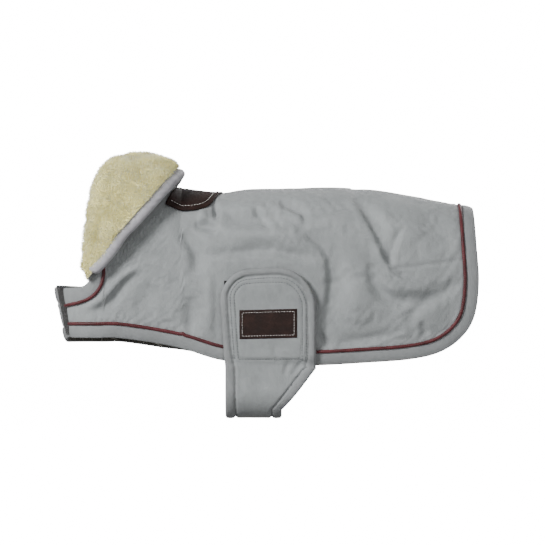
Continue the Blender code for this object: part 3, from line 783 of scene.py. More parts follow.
def make_lining():
    places, sides, quads, owners, base = panel_mesh(edge_top, LINING_INSET)
    u, g = places.T
    height = fold_parts(places, base, LINING_INSET)[1]
    inner = place(u, g, sides, -LINING_OUT - LINING + height)
    outer = place(u, g, sides, -LINING_OUT + height)
    normals = vertex_normals(outer, quads)
    for owner, suffix in OWNER_NAMES.items():
        piece = slab(f"lining_{suffix}", outer, inner, quads[owners == owner], lining_cloth(),
                     texture_places(u, g, sides), normals)
        stand_in(piece, [f"chest_lining_{suffix}" if owner else "body_lining"])
        fasten(piece, owner)


def band_profile(width, thickness, puff):
    """Closed outline of a padded edge: inset from the edge and height over the outer face."""
    r = thickness / 2
    outline = []
    for part in np.linspace(0, 1, 9):
        inset = mix(width, r, part)
        outline.append((inset, puff * math.sin(math.pi * part) ** 0.6 - 0.0008 * (1 - smooth(part / 0.12))))
    for turn in np.linspace(0, math.pi, 9)[1:-1]:
        outline.append((r * (1 - math.sin(turn)), -r + r * math.cos(turn)))
    for part in np.linspace(0, 1, 5):
        outline.append((mix(r, width, part), -thickness))
    return outline


def make_hem_band():
    """Padded band outside the piping, in three stretches: left flap, body, right flap."""
    profile = band_profile(BAND_WIDTH - 0.0012, SLAB, 0.0011)
    lines = {}
    for side in (-1, 1):
        keep = np.unique(np.linspace(0, len(EDGE[side]) - 1, 500).round().astype(int))
        rings = []
        for inset, out in profile:
            line = inset_edge(side, inset)[keep]
            wave = 0.0004 * noise_field(surface(line[:, 0], line[:, 1], side), 55, 31)
            rings.append(place(line[:, 0], line[:, 1], side, out + (wave if out > -SLAB / 2 else 0)))
        lines[side] = (np.stack(rings, axis=1), inset_edge(side, 0.0)[keep][:, 0])
    for side, suffix in ((-1, "left"), (1, "right")):
        rings, u = lines[side]
        count = int(np.argmax(u > SPLIT_U))
        rings = rings[:count + 1]
        piece = ring_skin(f"hem_band_{suffix}", rings, band_cloth(), band_places(rings))
        stand_in(piece, [f"chest_lower_band_{suffix}"])
        fasten(piece, side)
    right, u_right = lines[1]
    left, u_left = lines[-1]
    both = np.vstack([right[int(np.argmax(u_right > SPLIT_U)):],
                      left[int(np.argmax(u_left > SPLIT_U)):-1][::-1]])
    piece = ring_skin("hem_band_body", both, band_cloth(), band_places(both))
    stand_in(piece, ["edge_band"], "coat")


def band_places(rings):
    length = arc_length(rings[:, 0])
    around = np.linalg.norm(np.diff(rings[0], axis=0, append=rings[0][:1]), axis=1).cumsum()
    return np.stack(np.meshgrid(length, around, indexing="ij"), axis=-1).reshape(-1, 2)


def make_chest_bands():
    """Padded strip above the upper chest piping, from the flap's end to the collar's end."""
    for side, suffix in ((-1, "left"), (1, "right")):
        count = 70 if side < 0 else 150
        top = resample(edge_top(side), count)
        low = resample(piping_top(side)[:-8], count)
        rows = 22
        v = np.linspace(0, 1, rows)[:, None, None]
        uz = mix(top[None], low[None], v)
        u = uz[..., 0]
        g = girth_at(u, uz[..., 1])
        base = place(u, g, side)
        from_top = arc_table(base, 0)
        from_low = from_top[-1:] - from_top
        round_off = rounded_edge(from_top, SLAB / 2)
        puff = 0.0010 * np.sin(np.pi * np.linspace(0, 1, rows))[:, None] ** 0.6
        puff = puff - 0.0008 * np.exp(-from_low / 0.002)
        wave = 0.0005 * noise_field(base, 60, 41)
        outer = place(u, g, side, puff + wave - round_off)
        inner = place(u, g, side, -SLAB + round_off)
        quads = grid_quads(rows, count)
        quads = quads if side > 0 else quads[:, ::-1]
        piece = slab(f"chest_band_{suffix}", outer.reshape(-1, 3), inner.reshape(-1, 3), quads, band_cloth(),
                     texture_places(u, g, side))
        stand_in(piece, [f"chest_upper_band_{suffix}"])
        fasten(piece, side)


def make_piping():
    """Burgundy piping: along the upper chest, and all round the hem inside the band."""
    for side, suffix in ((-1, "left"), (1, "right")):
        line = resample(piping_top(side), 120 if side < 0 else 240)
        shown = line if side < 0 else line[line[:, 0] > CHEST_LAP_U]
        u, z = shown.T
        centres = place(u, girth_at(u, z), side, PIPING_PROUD)
        piece = tube(f"chest_piping_{suffix}", centres, PIPING_RADIUS, piping_cord())
        stand_in(piece, [f"chest_upper_piping_{suffix}"])
        fasten(piece, side)
    stretches = {}
    for side in (-1, 1):
        line = resample(inset_edge(side, BAND_WIDTH - 0.0002), 560)
        if side > 0:
            line = line[line[:, 0] > CHEST_LAP_U]
        wave = 0.00035 * noise_field(surface(line[:, 0], line[:, 1], side), 45, 51)
        centres = place(line[:, 0], line[:, 1], side, PIPING_PROUD + wave)
        stretches[side] = (centres, int(np.argmax(line[:, 0] > SPLIT_U)))
    for side, suffix in ((-1, "left"), (1, "right")):
        centres, cut = stretches[side]
        piece = tube(f"hem_piping_{suffix}", centres[:cut + 1], PIPING_RADIUS, piping_cord())
        stand_in(piece, [f"chest_lower_piping_{suffix}"])
        fasten(piece, side)
    right, cut_right = stretches[1]
    left, cut_left = stretches[-1]
    both = np.vstack([right[cut_right:], left[cut_left:-1][::-1]])
    piece = tube("hem_piping_body", both, PIPING_RADIUS, piping_cord())
    stand_in(piece, ["edge_piping"], "coat")


CHEST_LAP_U = HINGE_X - CHEST_ROUND * math.radians(60)  # the right flap's tab has no piping from here


def flank_slab(name, u, g, side, out, thickness, material, rounding):
    """A flat piece on the coat's surface. Rounding turns its outer edges over."""
    base = place(u, g, side)
    down, across = arc_table(base, 0), arc_table(base, 1)
    edge = np.minimum(np.minimum(down, down[-1:] - down), np.minimum(across, across[:, -1:] - across))
    outer = place(u, g, side, out + thickness - rounded_edge(edge, rounding))
    inner = place(u, g, side, out)
    quads = grid_quads(*u.shape)
    quads = quads if side > 0 else quads[:, ::-1]
    return slab(name, outer.reshape(-1, 3), inner.reshape(-1, 3), quads, material, texture_places(u, g, side))


def area_grid(low, high, count=40, tilt=0.0):
    """Places over a rectangle in side view, given by two corners: u and g, rows from top to bottom."""
    x = np.linspace(low[0], high[0], count)[None, :]
    z = np.linspace(high[1], low[1], count)[:, None]
    middle_x = (low[0] + high[0]) / 2
    z = z + tilt * (x - middle_x)
    x = np.broadcast_to(x, z.shape)
    return x, girth_at(x, z)


TAPE_ROUNDING = 0.0004


def make_tapes():
    """Hook and loop tapes. The strips on the chest are given by their turn round it, in degrees."""
    for node, side, start, end, out in (
        ("chest_hook_strip", -1, 30, 45, -0.0062),
        ("chest_loop_strip", 1, 90 + 12, 90 + 61, 0.0002),
    ):
        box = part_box(node)
        turn = np.radians(np.linspace(end, start, 30))
        u = np.broadcast_to(HINGE_X - CHEST_ROUND * turn[None, :], (60, 30))
        z = np.broadcast_to(np.linspace(box[1].z + 0.001, box[0].z, 60)[:, None], u.shape)
        piece = flank_slab(f"{node}_tape", u, girth_at(u, z), side, out, 0.0011, tape(), TAPE_ROUNDING)
        stand_in(piece, [node])
        fasten(piece, side)
    for node, body in (("flank_loop_patch", "coat"), ("flap_hook_patch", "strap_end")):
        low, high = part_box(node)
        if body == "coat":  # two corners of it show beside the strap's end
            u, g = area_grid((-0.0465, low.z), (0.0525, -0.1049), 50, -0.0385)
        else:
            u, g = area_grid((low.x, low.z), (high.x, high.z), 50)
        out = 0.0006 if body == "coat" else 0.0018
        piece = flank_slab(f"{node}_tape", u, g, -1, out, 0.0010, tape(), TAPE_ROUNDING)
        stand_in(piece, [node], body)


# ---------------------------------------------------------------- belly strap

def flap_edges(z, inset=0.0):
    """Front and rear edge of the strap's end at each height, with rounded upper corners."""
    part = (z - HINGE_Z) / (FLAP_TOP - HINGE_Z)
    edges = []
    for edge, sign, corner in ((mix(STRAP_FRONT_X, FLAP_FRONT_X, part), 1, FRONT_CORNER),
                               (FLAP_REAR_X + 0.0 * z, -1, REAR_CORNER)):
        radius = corner - inset
        over = np.clip(z - (FLAP_TOP - corner), 0.0, radius)
        edges.append(edge + sign * (inset + radius - np.sqrt(np.maximum(radius ** 2 - over ** 2, 0.0))))
    return edges


def arched(x, z):
    """The strap's end has a top edge that arches: height moved up or down for each place."""
    arch = TOP_ARCH - TOP_FALL * ((x - TOP_MIDDLE) / 0.050) ** 2
    return z + arch * smooth((z + 0.150) / 0.050)


def flap_point(x, z, out=0.0):
    z = arched(x, z)
    return place(x, girth_at(x, z), -1, FLAP_OUT + out)


def strap_rows():
    """The strap's outer face from the flap's top, under the belly, to its sewn end.

    Gives its points, each row's front and rear edge, the row at mid belly, how many rows the flap has, and
    each point's height before the top edge is arched.
    """
    middle = np.array([mix(STRAP_FRONT_X, STRAP_REAR_X, 0.5)])
    left = float(flap_point(middle, np.array([HINGE_Z]))[0, 1])
    right = float(place(middle, girth_at(middle, HINGE_Z), 1, -SEWN_DEPTH)[0, 1])
    bend = STRAP_BOTTOM + BELLY_RADIUS
    turned = FLAP_TOP - REAR_CORNER + REAR_CORNER * np.sin(np.linspace(math.pi / 2, 0.05, 28))
    heights = np.concatenate([turned, np.linspace(FLAP_TOP - REAR_CORNER, HINGE_Z, 68)])
    x_part = np.linspace(0, 1, 72)
    rows, edges = [], []
    for z in heights:
        front, rear = flap_edges(np.array(z))
        x = mix(float(front), float(rear), x_part)
        points = flap_point(x, np.full_like(x, z))
        straight = np.stack([x, np.full_like(x, left), np.full_like(x, z)], axis=1)
        rows.append(mix(points, straight, smooth((STRAP_BEND[0] + 0.004 - z) / 0.014)))
        edges.append((float(front), float(rear)))
    path = [(left, z) for z in np.linspace(HINGE_Z, bend, 18)[1:]]
    turns = np.linspace(0, math.pi / 2, 26)[1:]
    path += [(left + BELLY_RADIUS * (1 - math.cos(t)), bend - BELLY_RADIUS * math.sin(t)) for t in turns]
    flat_left, flat_right = left + BELLY_RADIUS, right - BELLY_RADIUS
    path += [(y, STRAP_BOTTOM) for y in np.linspace(flat_left, flat_right, 24)[1:]]
    path += [(right - BELLY_RADIUS * (1 - math.cos(t)), bend - BELLY_RADIUS * math.sin(t))
             for t in turns[::-1][1:]]
    path += [(right, z) for z in np.linspace(bend, HINGE_Z, 18)]
    path = np.array(path)
    length = arc_length(np.vstack([[left, HINGE_Z], path]))[1:]
    for (y, z), run in zip(path, length):
        rear = mix(FLAP_REAR_X, STRAP_REAR_X, min(run / STRAP_NARROWING, 1.0))
        x = mix(STRAP_FRONT_X, rear, x_part)
        rows.append(np.stack([x, np.full_like(x, y), np.full_like(x, z)], axis=1))
        edges.append((STRAP_FRONT_X, rear))
    middle_row = len(heights) + int(np.argmax(path[:, 0] > (flat_left + flat_right) / 2))
    for z in np.linspace(HINGE_Z, ANCHOR_TOP, 26)[1:]:
        x = mix(STRAP_FRONT_X, STRAP_REAR_X, x_part)
        inside = place(x, girth_at(x, np.full_like(x, z)), 1, -SEWN_DEPTH)
        straight = np.stack([x, np.full_like(x, right), np.full_like(x, z)], axis=1)
        rows.append(mix(straight, inside, smooth((z - HINGE_Z) / 0.012)))
        edges.append((STRAP_FRONT_X, STRAP_REAR_X))
    rows = np.array(rows)
    flat_z = rows[..., 2].copy()
    flat_z[:len(heights)] = heights[:, None]
    return rows, np.array(edges), middle_row, len(heights), flat_z


FLAP_STROKES = [
    ([(0.010, -0.180), (0.014, -0.190), (0.017, -0.200)], 0.0014, 0.0030, 0.0030),
    ([(0.030, -0.196), (0.026, -0.206), (0.024, -0.216)], 0.0014, 0.0030, 0.0040),
    ([(0.047, -0.194), (0.038, -0.206), (0.030, -0.216)], 0.0014, 0.0030, 0.0040),
    ([(-0.010, -0.214), (-0.002, -0.222), (0.004, -0.230)], 0.0012, 0.0040, 0.0040),
    ([(-0.032, -0.204), (-0.028, -0.222), (-0.030, -0.244)], 0.0010, 0.0050, 0.0050),
    ([(-0.022, -0.178), (0.000, -0.181), (0.030, -0.178)], 0.0008, 0.0060, 0.0080),
    ([(-0.018, -0.112), (0.000, -0.116), (0.022, -0.112)], -0.0008, 0.0100, 0.0100),
    ([(0.046, -0.214), (0.040, -0.222)], -0.0010, 0.0030, 0.0030),
]
BOX_BOTTOM_Z = -0.194
BOX_LINES = (0.0030, 0.0078)  # stitch lines, inside the binding


def strap_edge_distance(x, z, edges, down, in_flap):
    """How far in from the strap's edge each of its points lies."""
    slant = np.gradient(edges[:, 1]) / np.maximum(np.gradient(down[:, -1]), 1e-6)
    cosine = 1 / np.sqrt(1 + slant[:, None] ** 2)
    edge = np.minimum(x - edges[:, :1], (edges[:, 1:] - x) * np.where(in_flap, 1, cosine))
    edge = np.where(in_flap, np.minimum(edge, FLAP_TOP - z), edge)
    front_line = mix(STRAP_FRONT_X, FLAP_FRONT_X, (z - HINGE_Z) / (FLAP_TOP - HINGE_Z))
    for centre_x, sign, corner in ((front_line + FRONT_CORNER, -1, FRONT_CORNER),
                                   (np.full_like(x, FLAP_REAR_X - REAR_CORNER), 1, REAR_CORNER)):
        dx, dz = (x - centre_x) * sign, z - (FLAP_TOP - corner)
        in_corner = in_flap & (dx > 0) & (dz > 0)
        edge = np.where(in_corner, corner - np.hypot(dx, dz), edge)
    return np.maximum(np.minimum(edge, down[-1:] - down), 0)


def make_strap():
    base, edges, middle, flap_rows, flat_z = strap_rows()
    x, z = base[..., 0], flat_z
    down = arc_table(base, 0)
    row = np.arange(len(x))[:, None]
    in_flap = row < flap_rows
    edge = strap_edge_distance(x, z, edges, down, in_flap)
    normal = -np.cross(np.gradient(base, axis=1), np.gradient(base, axis=0))
    normal /= np.maximum(np.linalg.norm(normal, axis=-1, keepdims=True), 1e-12)
    run = down[:, :1]
    band = mix(STRAP_BAND, BELLY_BAND, smooth((run - 0.10) / 0.04))
    round_off = rounded_edge(edge, STRAP_THICKNESS / 2)
    part = np.clip(edge / band, 0, 1)
    inside = smooth((edge - band) / 0.004)
    height = 0.0011 * np.sin(math.pi * part) ** 0.8 - 0.0016 * np.exp(-((edge - band) / 0.0011) ** 2)
    height = height + 0.0006 * inside
    in_box = in_flap & (z > BOX_BOTTOM_Z)
    for inset in BOX_LINES:
        height = height - np.where(in_box, 0.0010 * np.exp(-((edge - band - inset) / 0.0010) ** 2), 0)
    low_line = in_flap & (edge > band + BOX_LINES[1])
    height = height - np.where(low_line, 0.0008 * np.exp(-((z - BOX_BOTTOM_Z) / 0.0010) ** 2), 0)
    flap_side = row < middle
    for line, depth, ahead, behind in FLAP_STROKES:
        height = height + np.where(flap_side, stroke(x, z, line, depth, ahead, behind) * inside, 0)
    wave = noise_field(base, 60, 61)
    ripple = np.sin(run / 0.0075 * 2 * math.pi + 5 * wave) * np.exp(-np.abs(edge - band) / 0.004)
    height = height + 0.00035 * wave + 0.00022 * ripple * smooth(edge / 0.003)
    outer = base + normal * (height - round_off)[..., None]
    inner = base - normal * (STRAP_THICKNESS - round_off)[..., None]
    rows, columns = edge.shape
    quads = grid_quads(rows, columns)[:, ::-1]
    middle_edge = (edge[:-1, :-1] + edge[1:, 1:]) / 2
    is_band = (middle_edge < (band[:-1] + band[1:]) / 2).reshape(-1).astype(int)
    q_row = np.repeat(np.arange(rows - 1), columns - 1)
    flat_outer, flat_inner = outer.reshape(-1, 3), inner.reshape(-1, 3)
    normals = vertex_normals(flat_outer, quads)
    uv = np.stack([x, -down], axis=-1).reshape(-1, 2)
    for name, mask, nodes in (
        ("flap_cover", q_row < middle, ["flap_shell", "flap_padding", "flap_lining", "flap_band"]),
        ("strap_cover", q_row >= middle, ["strap_shell", "strap_padding", "strap_lining", "strap_band_front",
                                          "strap_band_rear", "strap_anchor"]),
    ):
        piece = two_tone_slab(name, flat_outer, flat_inner, quads[mask], is_band[mask], uv, normals)
        stand_in(piece, nodes)
        if name == "flap_cover":
            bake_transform(piece)
        else:
            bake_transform(piece)
    make_flap_stitches()


def two_tone_slab(name, outer, inner, quads, is_band, places, normals):
    """A slab whose outer face is shell or binding and whose inner face is lining."""
    piece = slab(name, outer, inner, quads, shell_cloth(), places, normals, inner_material=lining_cloth())
    piece.data.materials.append(band_cloth())
    slots = np.empty(len(piece.data.polygons), np.int32)
    piece.data.polygons.foreach_get("material_index", slots)
    count = len(quads)
    slots[:count] = is_band * 2
    slots[count:2 * count] = np.where(is_band > 0, 2, 1)
    slots[2 * count:] = 2
    piece.data.polygons.foreach_set("material_index", slots)
    return piece


def flap_outline(inset, low):
    """Line at this inset from the flap's edge: up the front side from low, over the top and down the rear."""
    turns = np.linspace(0, math.pi / 2, 30)
    z = np.concatenate([np.linspace(low, FLAP_TOP - REAR_CORNER, 30)[:-1],
                        FLAP_TOP - REAR_CORNER + (REAR_CORNER - inset) * np.sin(turns)])
    front, rear = flap_edges(np.minimum(z, FLAP_TOP - inset - 1e-7), inset)
    return np.vstack([np.stack([front, z], axis=1), np.stack([rear, z], axis=1)[::-1]])


def surface_line(xz, out):
    xz = resample(np.asarray(xz, float), 400)
    x, z = xz.T
    return flap_point(x, z, out), normals_at(x, girth_at(x, z), -1)


def make_flap_stitches():
    rows = [(flap_outline(STRAP_BAND + inset, BOX_BOTTOM_Z), 0.0002) for inset in BOX_LINES]
    front = flap_outline(STRAP_BAND + BOX_LINES[1], BOX_BOTTOM_Z)
    rows.append(([front[0], front[-1]], 0.0001))
    for k, (line, out) in enumerate(rows):
        points, normals = surface_line(line, out)
        piece = stitches(f"flap_stitching_{k}", points, normals, 0.0034, 0.0023, 0.00036, grey_thread())
        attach(piece, "strap_end")


# ---------------------------------------------------------------- leather

LABEL_TILT = 0.026
LEATHER = 0.0015
LEATHER_ROUNDING = 0.0006


def make_label():
    low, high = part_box("flap_label")
    x, g = area_grid((low.x, low.z + 0.001), (high.x, high.z), 60, LABEL_TILT)
    piece = flank_slab("flap_label_leather", x, g, -1, FLAP_OUT + 0.0002, LEATHER, leather(),
                       LEATHER_ROUNDING)
    stand_in(piece, ["flap_label"], "strap_end")
    inset = 0.0034  # stitching in from the label's edge
    left, right, bottom, top = low.x + inset, high.x - inset, low.z + 0.001 + inset, high.z - inset
    middle = (low.x + high.x) / 2
    corners = [(left, bottom), (right, bottom), (right, top), (left, top)]
    corners = [(x, z + LABEL_TILT * (x - middle)) for x, z in corners]
    for k in range(4):
        points, normals = surface_line([corners[k], corners[(k + 1) % 4]], 0.0002 + LEATHER)
        piece = stitches(f"label_stitching_{k}", points, normals, 0.0032, 0.0023, 0.00030, white_thread())
        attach(piece, "strap_end")


PATCH_HALF = 0.060
PATCH_LENGTH = 0.051
PATCH_FRONT = -0.1000
PATCH_SWEEP = 0.0165


def patch_places(part, along):
    """A place on the neck patch: part across the back from -1 to 1, along from its front edge to its rear."""
    front = PATCH_FRONT - PATCH_SWEEP * np.abs(part)
    length = PATCH_LENGTH * np.sqrt(np.maximum(1 - np.abs(part) ** 8, 0.0004))
    return front + length * along, np.abs(part) * PATCH_HALF


def patch_lift(part):
    """The patch stands a little further off the cloth towards its sides."""
    return 0.0013 + 0.0012 * smooth((np.abs(part) - 0.5) / 0.5)


def make_neck_patch():
    rows_across, rows_along = 141, 60
    part = np.linspace(-1, 1, rows_across)[:, None]
    u, g = patch_places(part, np.linspace(0, 1, rows_along)[None, :])
    side = np.broadcast_to(np.where(part < 0, -1, 1), u.shape)
    base = place(u, g, side)
    rows = arc_table(base, 0)
    columns = arc_table(base, 1)
    edge = np.minimum(columns, columns[:, -1:] - columns)
    edge = np.minimum(edge, np.minimum(rows, rows[-1:] - rows))
    outer = place(u, g, side, patch_lift(part) + LEATHER - rounded_edge(edge, LEATHER_ROUNDING))
    inner = place(u, g, side, patch_lift(part))
    piece = slab("neck_patch_leather", outer.reshape(-1, 3), inner.reshape(-1, 3),
                 grid_quads(rows_across, rows_along), leather(), texture_places(u, g, side))
    stand_in(piece, ["neck_patch"], "coat")
    half = [(0.0, 0.890), (0.35, 0.885), (0.70, 0.840), (0.84, 0.66), (0.88, 0.40), (0.87, 0.08)]
    part, along = smooth_curve([(-p, a) for p, a in half[:0:-1]] + half, 300).T
    u, g = patch_places(part, along)
    side = np.where(part < 0, -1, 1)
    points = place(u, g, side, patch_lift(part) + 0.0002 + LEATHER)
    piece = stitches("neck_patch_stitching", points, normals_at(u, g, side), 0.0036, 0.0026, 0.00034,
                     white_thread())
    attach(piece, "coat")


# ---------------------------------------------------------------- collar

COLLAR_OVERRUN = 0.009
COLLAR_REACH = 0.055
PILE = 0.0095
ROLL_RADIUS = 0.0040
COLLAR_FLARE = 0.006
COLLAR_FOOT = 0.0021
PILE_FOOT = 2.2 * COLLAR_FOOT
BACKING_FOOT = -1.2 * COLLAR_FOOT  # runs below the neck seam, so that no light shows through it
BACKING = 0.0008
BACKING_GAP = 0.0003
RIM_NARROWING = 0.93
NAPE_ROUNDING = 0.15
BAND_THICK = 0.0110
BAND_HIGH = 0.0132
NAPE_LIFT = 0.0115
SIDE_LIFT = 0.0090
NAPE_FULLNESS = 0.0055
NECK_SEAM_U = np.linspace(NAPE_X, HINGE_X, CURVE_SAMPLES)
NECK_SEAM_G = girth_at(NECK_SEAM_U, neck_z(NECK_SEAM_U))
NECK_SEAM = resample(np.stack([NECK_SEAM_U, NECK_SEAM_G], axis=1), CURVE_SAMPLES)
RIM_LINE = smooth_curve([
    (NAPE_X - 0.071, 0.034),
    (NAPE_X - 0.091, 0.028),
    (HINGE_X - 0.006, 0.006),
    (HINGE_X - 0.011, -0.030),
    (HINGE_X - 0.015, -0.062),
    (HINGE_X - 0.018, NECK_END_Z),
])


def collar_base(part):
    """Points of the neck seam. Part is 0 at the nape and 1 at the right end, -1 at the left end."""
    part = np.asarray(part, float)
    length = np.linspace(0, 1, CURVE_SAMPLES)
    u, g = (np.interp(np.abs(part), length, NECK_SEAM[:, k]) for k in (0, 1))
    overrun = COLLAR_OVERRUN * np.maximum(np.abs(part) - 0.80, 0.0) / 0.20
    base = place(u, g, np.where(part < 0, -1, 1))
    return base + overrun[..., None] * np.array([-math.sqrt(0.5), 0.0, -math.sqrt(0.5)])


def collar_lift(part):
    """How far above the neck seam the turned-down side ends."""
    part = np.abs(part)
    return mix(NAPE_LIFT, SIDE_LIFT, smooth(part / 0.5)) * (1 - smooth((part - 0.62) / 0.34))


def collar_frame(part, tip=0.0):
    """Base points, the way up the neck, the way outwards, the stand's height and how full the roll is."""
    base = collar_base(part)
    base = base + tip * smooth((np.abs(part) - 0.78) / 0.22)[:, None] * np.array([-0.0035, 0.0, -0.0120])
    length = np.linspace(0, 1, CURVE_SAMPLES)
    rounded = np.hypot(part, NAPE_ROUNDING) - NAPE_ROUNDING
    rounded /= math.hypot(1, NAPE_ROUNDING) - NAPE_ROUNDING
    rim_x, rim_z = (np.interp(rounded, length, RIM_LINE[:, k]) for k in (0, 1))
    up = np.stack([rim_x, base[:, 1] * RIM_NARROWING, rim_z], axis=1) - base
    height = np.linalg.norm(up, axis=1)
    up /= height[:, None]
    step = 2e-3
    tangent = collar_base(np.minimum(part + step, 1.0)) - collar_base(np.maximum(part - step, -1.0))
    return base, up, unit(np.cross(tangent, up)), height, np.minimum(height / COLLAR_REACH, 1.0)


def collar_rings(part, radius, foot, fullness=0.0):
    """Hook-shaped lines, one for each part: up the neck, over the roll, and back down outside it."""
    base, up, out, height, full = collar_frame(part, 1.0)
    nape = np.exp(-(part / 0.30) ** 2)
    low = 2 * COLLAR_FOOT + collar_lift(part)
    radius = radius * full
    middle = ROLL_RADIUS * full
    centre = height - (ROLL_RADIUS + PILE) * full
    points = [(mix(foot, centre, t), middle - radius) for t in np.linspace(0, 1, 14)[:-1]]
    for turn in np.linspace(0, math.pi, 21):
        points.append((centre + radius * math.sin(turn), middle - radius * math.cos(turn)))
    for down in np.linspace(0, 1, 17)[1:]:
        bulge = fullness * nape * math.sin(math.pi * down) ** 0.6
        points.append((mix(centre, low, down), middle + radius + COLLAR_FLARE * full * down + bulge))
    rings = []
    for along, away in points:
        along, away = (np.broadcast_to(value, full.shape)[:, None] for value in (along, away))
        rings.append(base + along * up + away * out)
    return np.stack(rings, axis=1)


def make_collar():
    part = np.linspace(-1, 1, 201)
    outer = collar_rings(part, ROLL_RADIUS + PILE, PILE_FOOT, NAPE_FULLNESS)
    inner = collar_rings(part, ROLL_RADIUS + BACKING_GAP + BACKING, PILE_FOOT)
    rings = np.concatenate([outer, inner[:, ::-1]], axis=1)
    fleece = ring_skin("fleece_body", rings, fleece_cloth())
    shape_fleece(fleece, outer.shape[1], rings.shape)
    stand_in(fleece, ["collar_fleece"], "coat")
    grow_pile(fleece, rings.shape[1], outer.shape[1])
    backing_out = collar_rings(part, ROLL_RADIUS, BACKING_FOOT)
    backing_in = collar_rings(part, ROLL_RADIUS - BACKING, BACKING_FOOT)
    rings = np.concatenate([backing_out, backing_in[:, ::-1]], axis=1)
    backing = ring_skin("collar_backing_cloth", rings, band_cloth())
    stand_in(backing, ["collar_backing"], "coat")
    make_collar_band()


def shape_fleece(obj, outer_count, shape):
    """Soft clumps over the pile's outer side."""
    mesh = obj.data
    points, normals = (read_vectors(mesh, key).reshape(shape) for key in ("co", "normal"))
    weight = np.zeros(shape[1])
    weight[:outer_count] = np.sin(np.linspace(0, math.pi, outer_count)) ** 0.4
    clump = 0.0022 * noise_field(points, 45, 71) + 0.0013 * noise_field(points, 110, 73) \
        + 0.0006 * noise_field(points, 240, 79)
    points = points + normals * (clump * weight[None, :])[..., None]
    mesh.vertices.foreach_set("co", points.ravel())
    mesh.update()


def grow_pile(obj, around, outer_count):
    """Short tapering tufts over the fleece, laid over in soft waves."""
    mesh = obj.data
    rng = np.random.default_rng(5)
    mesh.calc_loop_triangles()
    tri = np.empty(len(mesh.loop_triangles) * 3, np.int32)
    mesh.loop_triangles.foreach_get("vertices", tri)
    tri = tri.reshape(-1, 3)
    tri = tri[(tri % around < outer_count).all(axis=1)]
    co, no = read_vectors(mesh, "co"), read_vectors(mesh, "normal")
    a, b, c = co[tri[:, 0]], co[tri[:, 1]], co[tri[:, 2]]
    area = np.linalg.norm(np.cross(b - a, c - a), axis=1)
    count = TUFTS
    pick = rng.choice(len(tri), count, p=area / area.sum())
    w = rng.dirichlet((1, 1, 1), count)
    root = (co[tri[pick]] * w[..., None]).sum(axis=1)
    normal = unit((no[tri[pick]] * w[..., None]).sum(axis=1))
    flow = np.stack([noise_field(root, 38, s) for s in (81, 83, 85)], axis=1)
    lean = flow * 1.6 + rng.normal(0, 0.35, (count, 3)) + np.array([0.0, 0.0, -0.35])
    lean -= normal * (lean * normal).sum(axis=1)[:, None]
    length = TUFT_LENGTH * rng.uniform(0.6, 1.15, count)[:, None]
    mid = root + normal * length * 0.5 + lean * length * 0.18
    tip = root + normal * length * 0.82 + lean * length * 0.62
    side = unit(np.cross(normal, lean + 1e-6))
    other = np.cross(normal, side)
    points, faces = [], []
    for station, width in ((root - normal * 0.0006, TUFT_WIDTH), (mid, TUFT_WIDTH * 0.75)):
        for turn in (0, 2 * math.pi / 3, 4 * math.pi / 3):
            points.append(station + width * (math.cos(turn) * side + math.sin(turn) * other))
    points.append(tip)
    points = np.stack(points, axis=1).reshape(-1, 3)
    offset = np.arange(count) * 7
    for face in TUFT_FACES:
        faces += (offset[:, None] + np.array(face)[None, :]).tolist()
    tufts = new_mesh_object("fleece_pile", points, faces, [pile_fibre()])
    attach(tufts, "coat")


# A tuft has three points at its root, three half way up and a tip.
TUFT_FACES = [(0, 1, 4, 3), (1, 2, 5, 4), (2, 0, 3, 5), (3, 4, 6), (4, 5, 6), (5, 3, 6), (2, 1, 0)]
TUFTS = 42000
TUFT_LENGTH = 0.0052
TUFT_WIDTH = 0.00032


def make_collar_band():
    """Padded band along the collar's free edge, a little wrinkled where the elastic gathers it."""
    part = np.linspace(-1, 1, 321)
    base, up, out, _, full = collar_frame(part)
    middle = base + up * (collar_lift(part) - BAND_HIGH / 2 + 2 * COLLAR_FOOT + 0.0010)[:, None]
    middle = middle + out * ((2 * ROLL_RADIUS + COLLAR_FLARE + 0.35 * PILE) * mix(1.0, full, 0.75))[:, None]
    turns = np.linspace(0, 2 * math.pi, 36, endpoint=False)
    run = arc_length(middle)
    sine = np.sin(turns)
    rings = middle[:, None] + up[:, None] * (np.cos(turns) * BAND_HIGH / 2)[None, :, None] \
        + out[:, None] * (np.sign(sine) * np.abs(sine) ** 0.8 * BAND_THICK / 2)[None, :, None]
    centre = middle[:, None]
    wave = noise_field(rings, 55, 91)
    ripple = np.sin(run[:, None] / 0.0095 * 2 * math.pi + 6 * wave) * np.maximum(sine, 0)[None, :]
    lift = 0.0005 * wave + 0.00035 * ripple
    ends = np.minimum(run, run[-1] - run)
    cap = np.sqrt(np.clip(1 - (1 - np.clip(ends / 0.005, 0, 1)) ** 2, 0.04, 1))[:, None, None]
    away = rings - centre
    size = np.linalg.norm(away, axis=-1, keepdims=True)
    rings = centre + away * (1 + lift[..., None] / size) * cap
    places = np.stack(np.meshgrid(run, turns * 0.006, indexing="ij"), axis=-1).reshape(-1, 2)
    piece = ring_skin("collar_band", rings, collar_cloth(), places)
    stand_in(piece, ["collar_edge_band"], "coat")


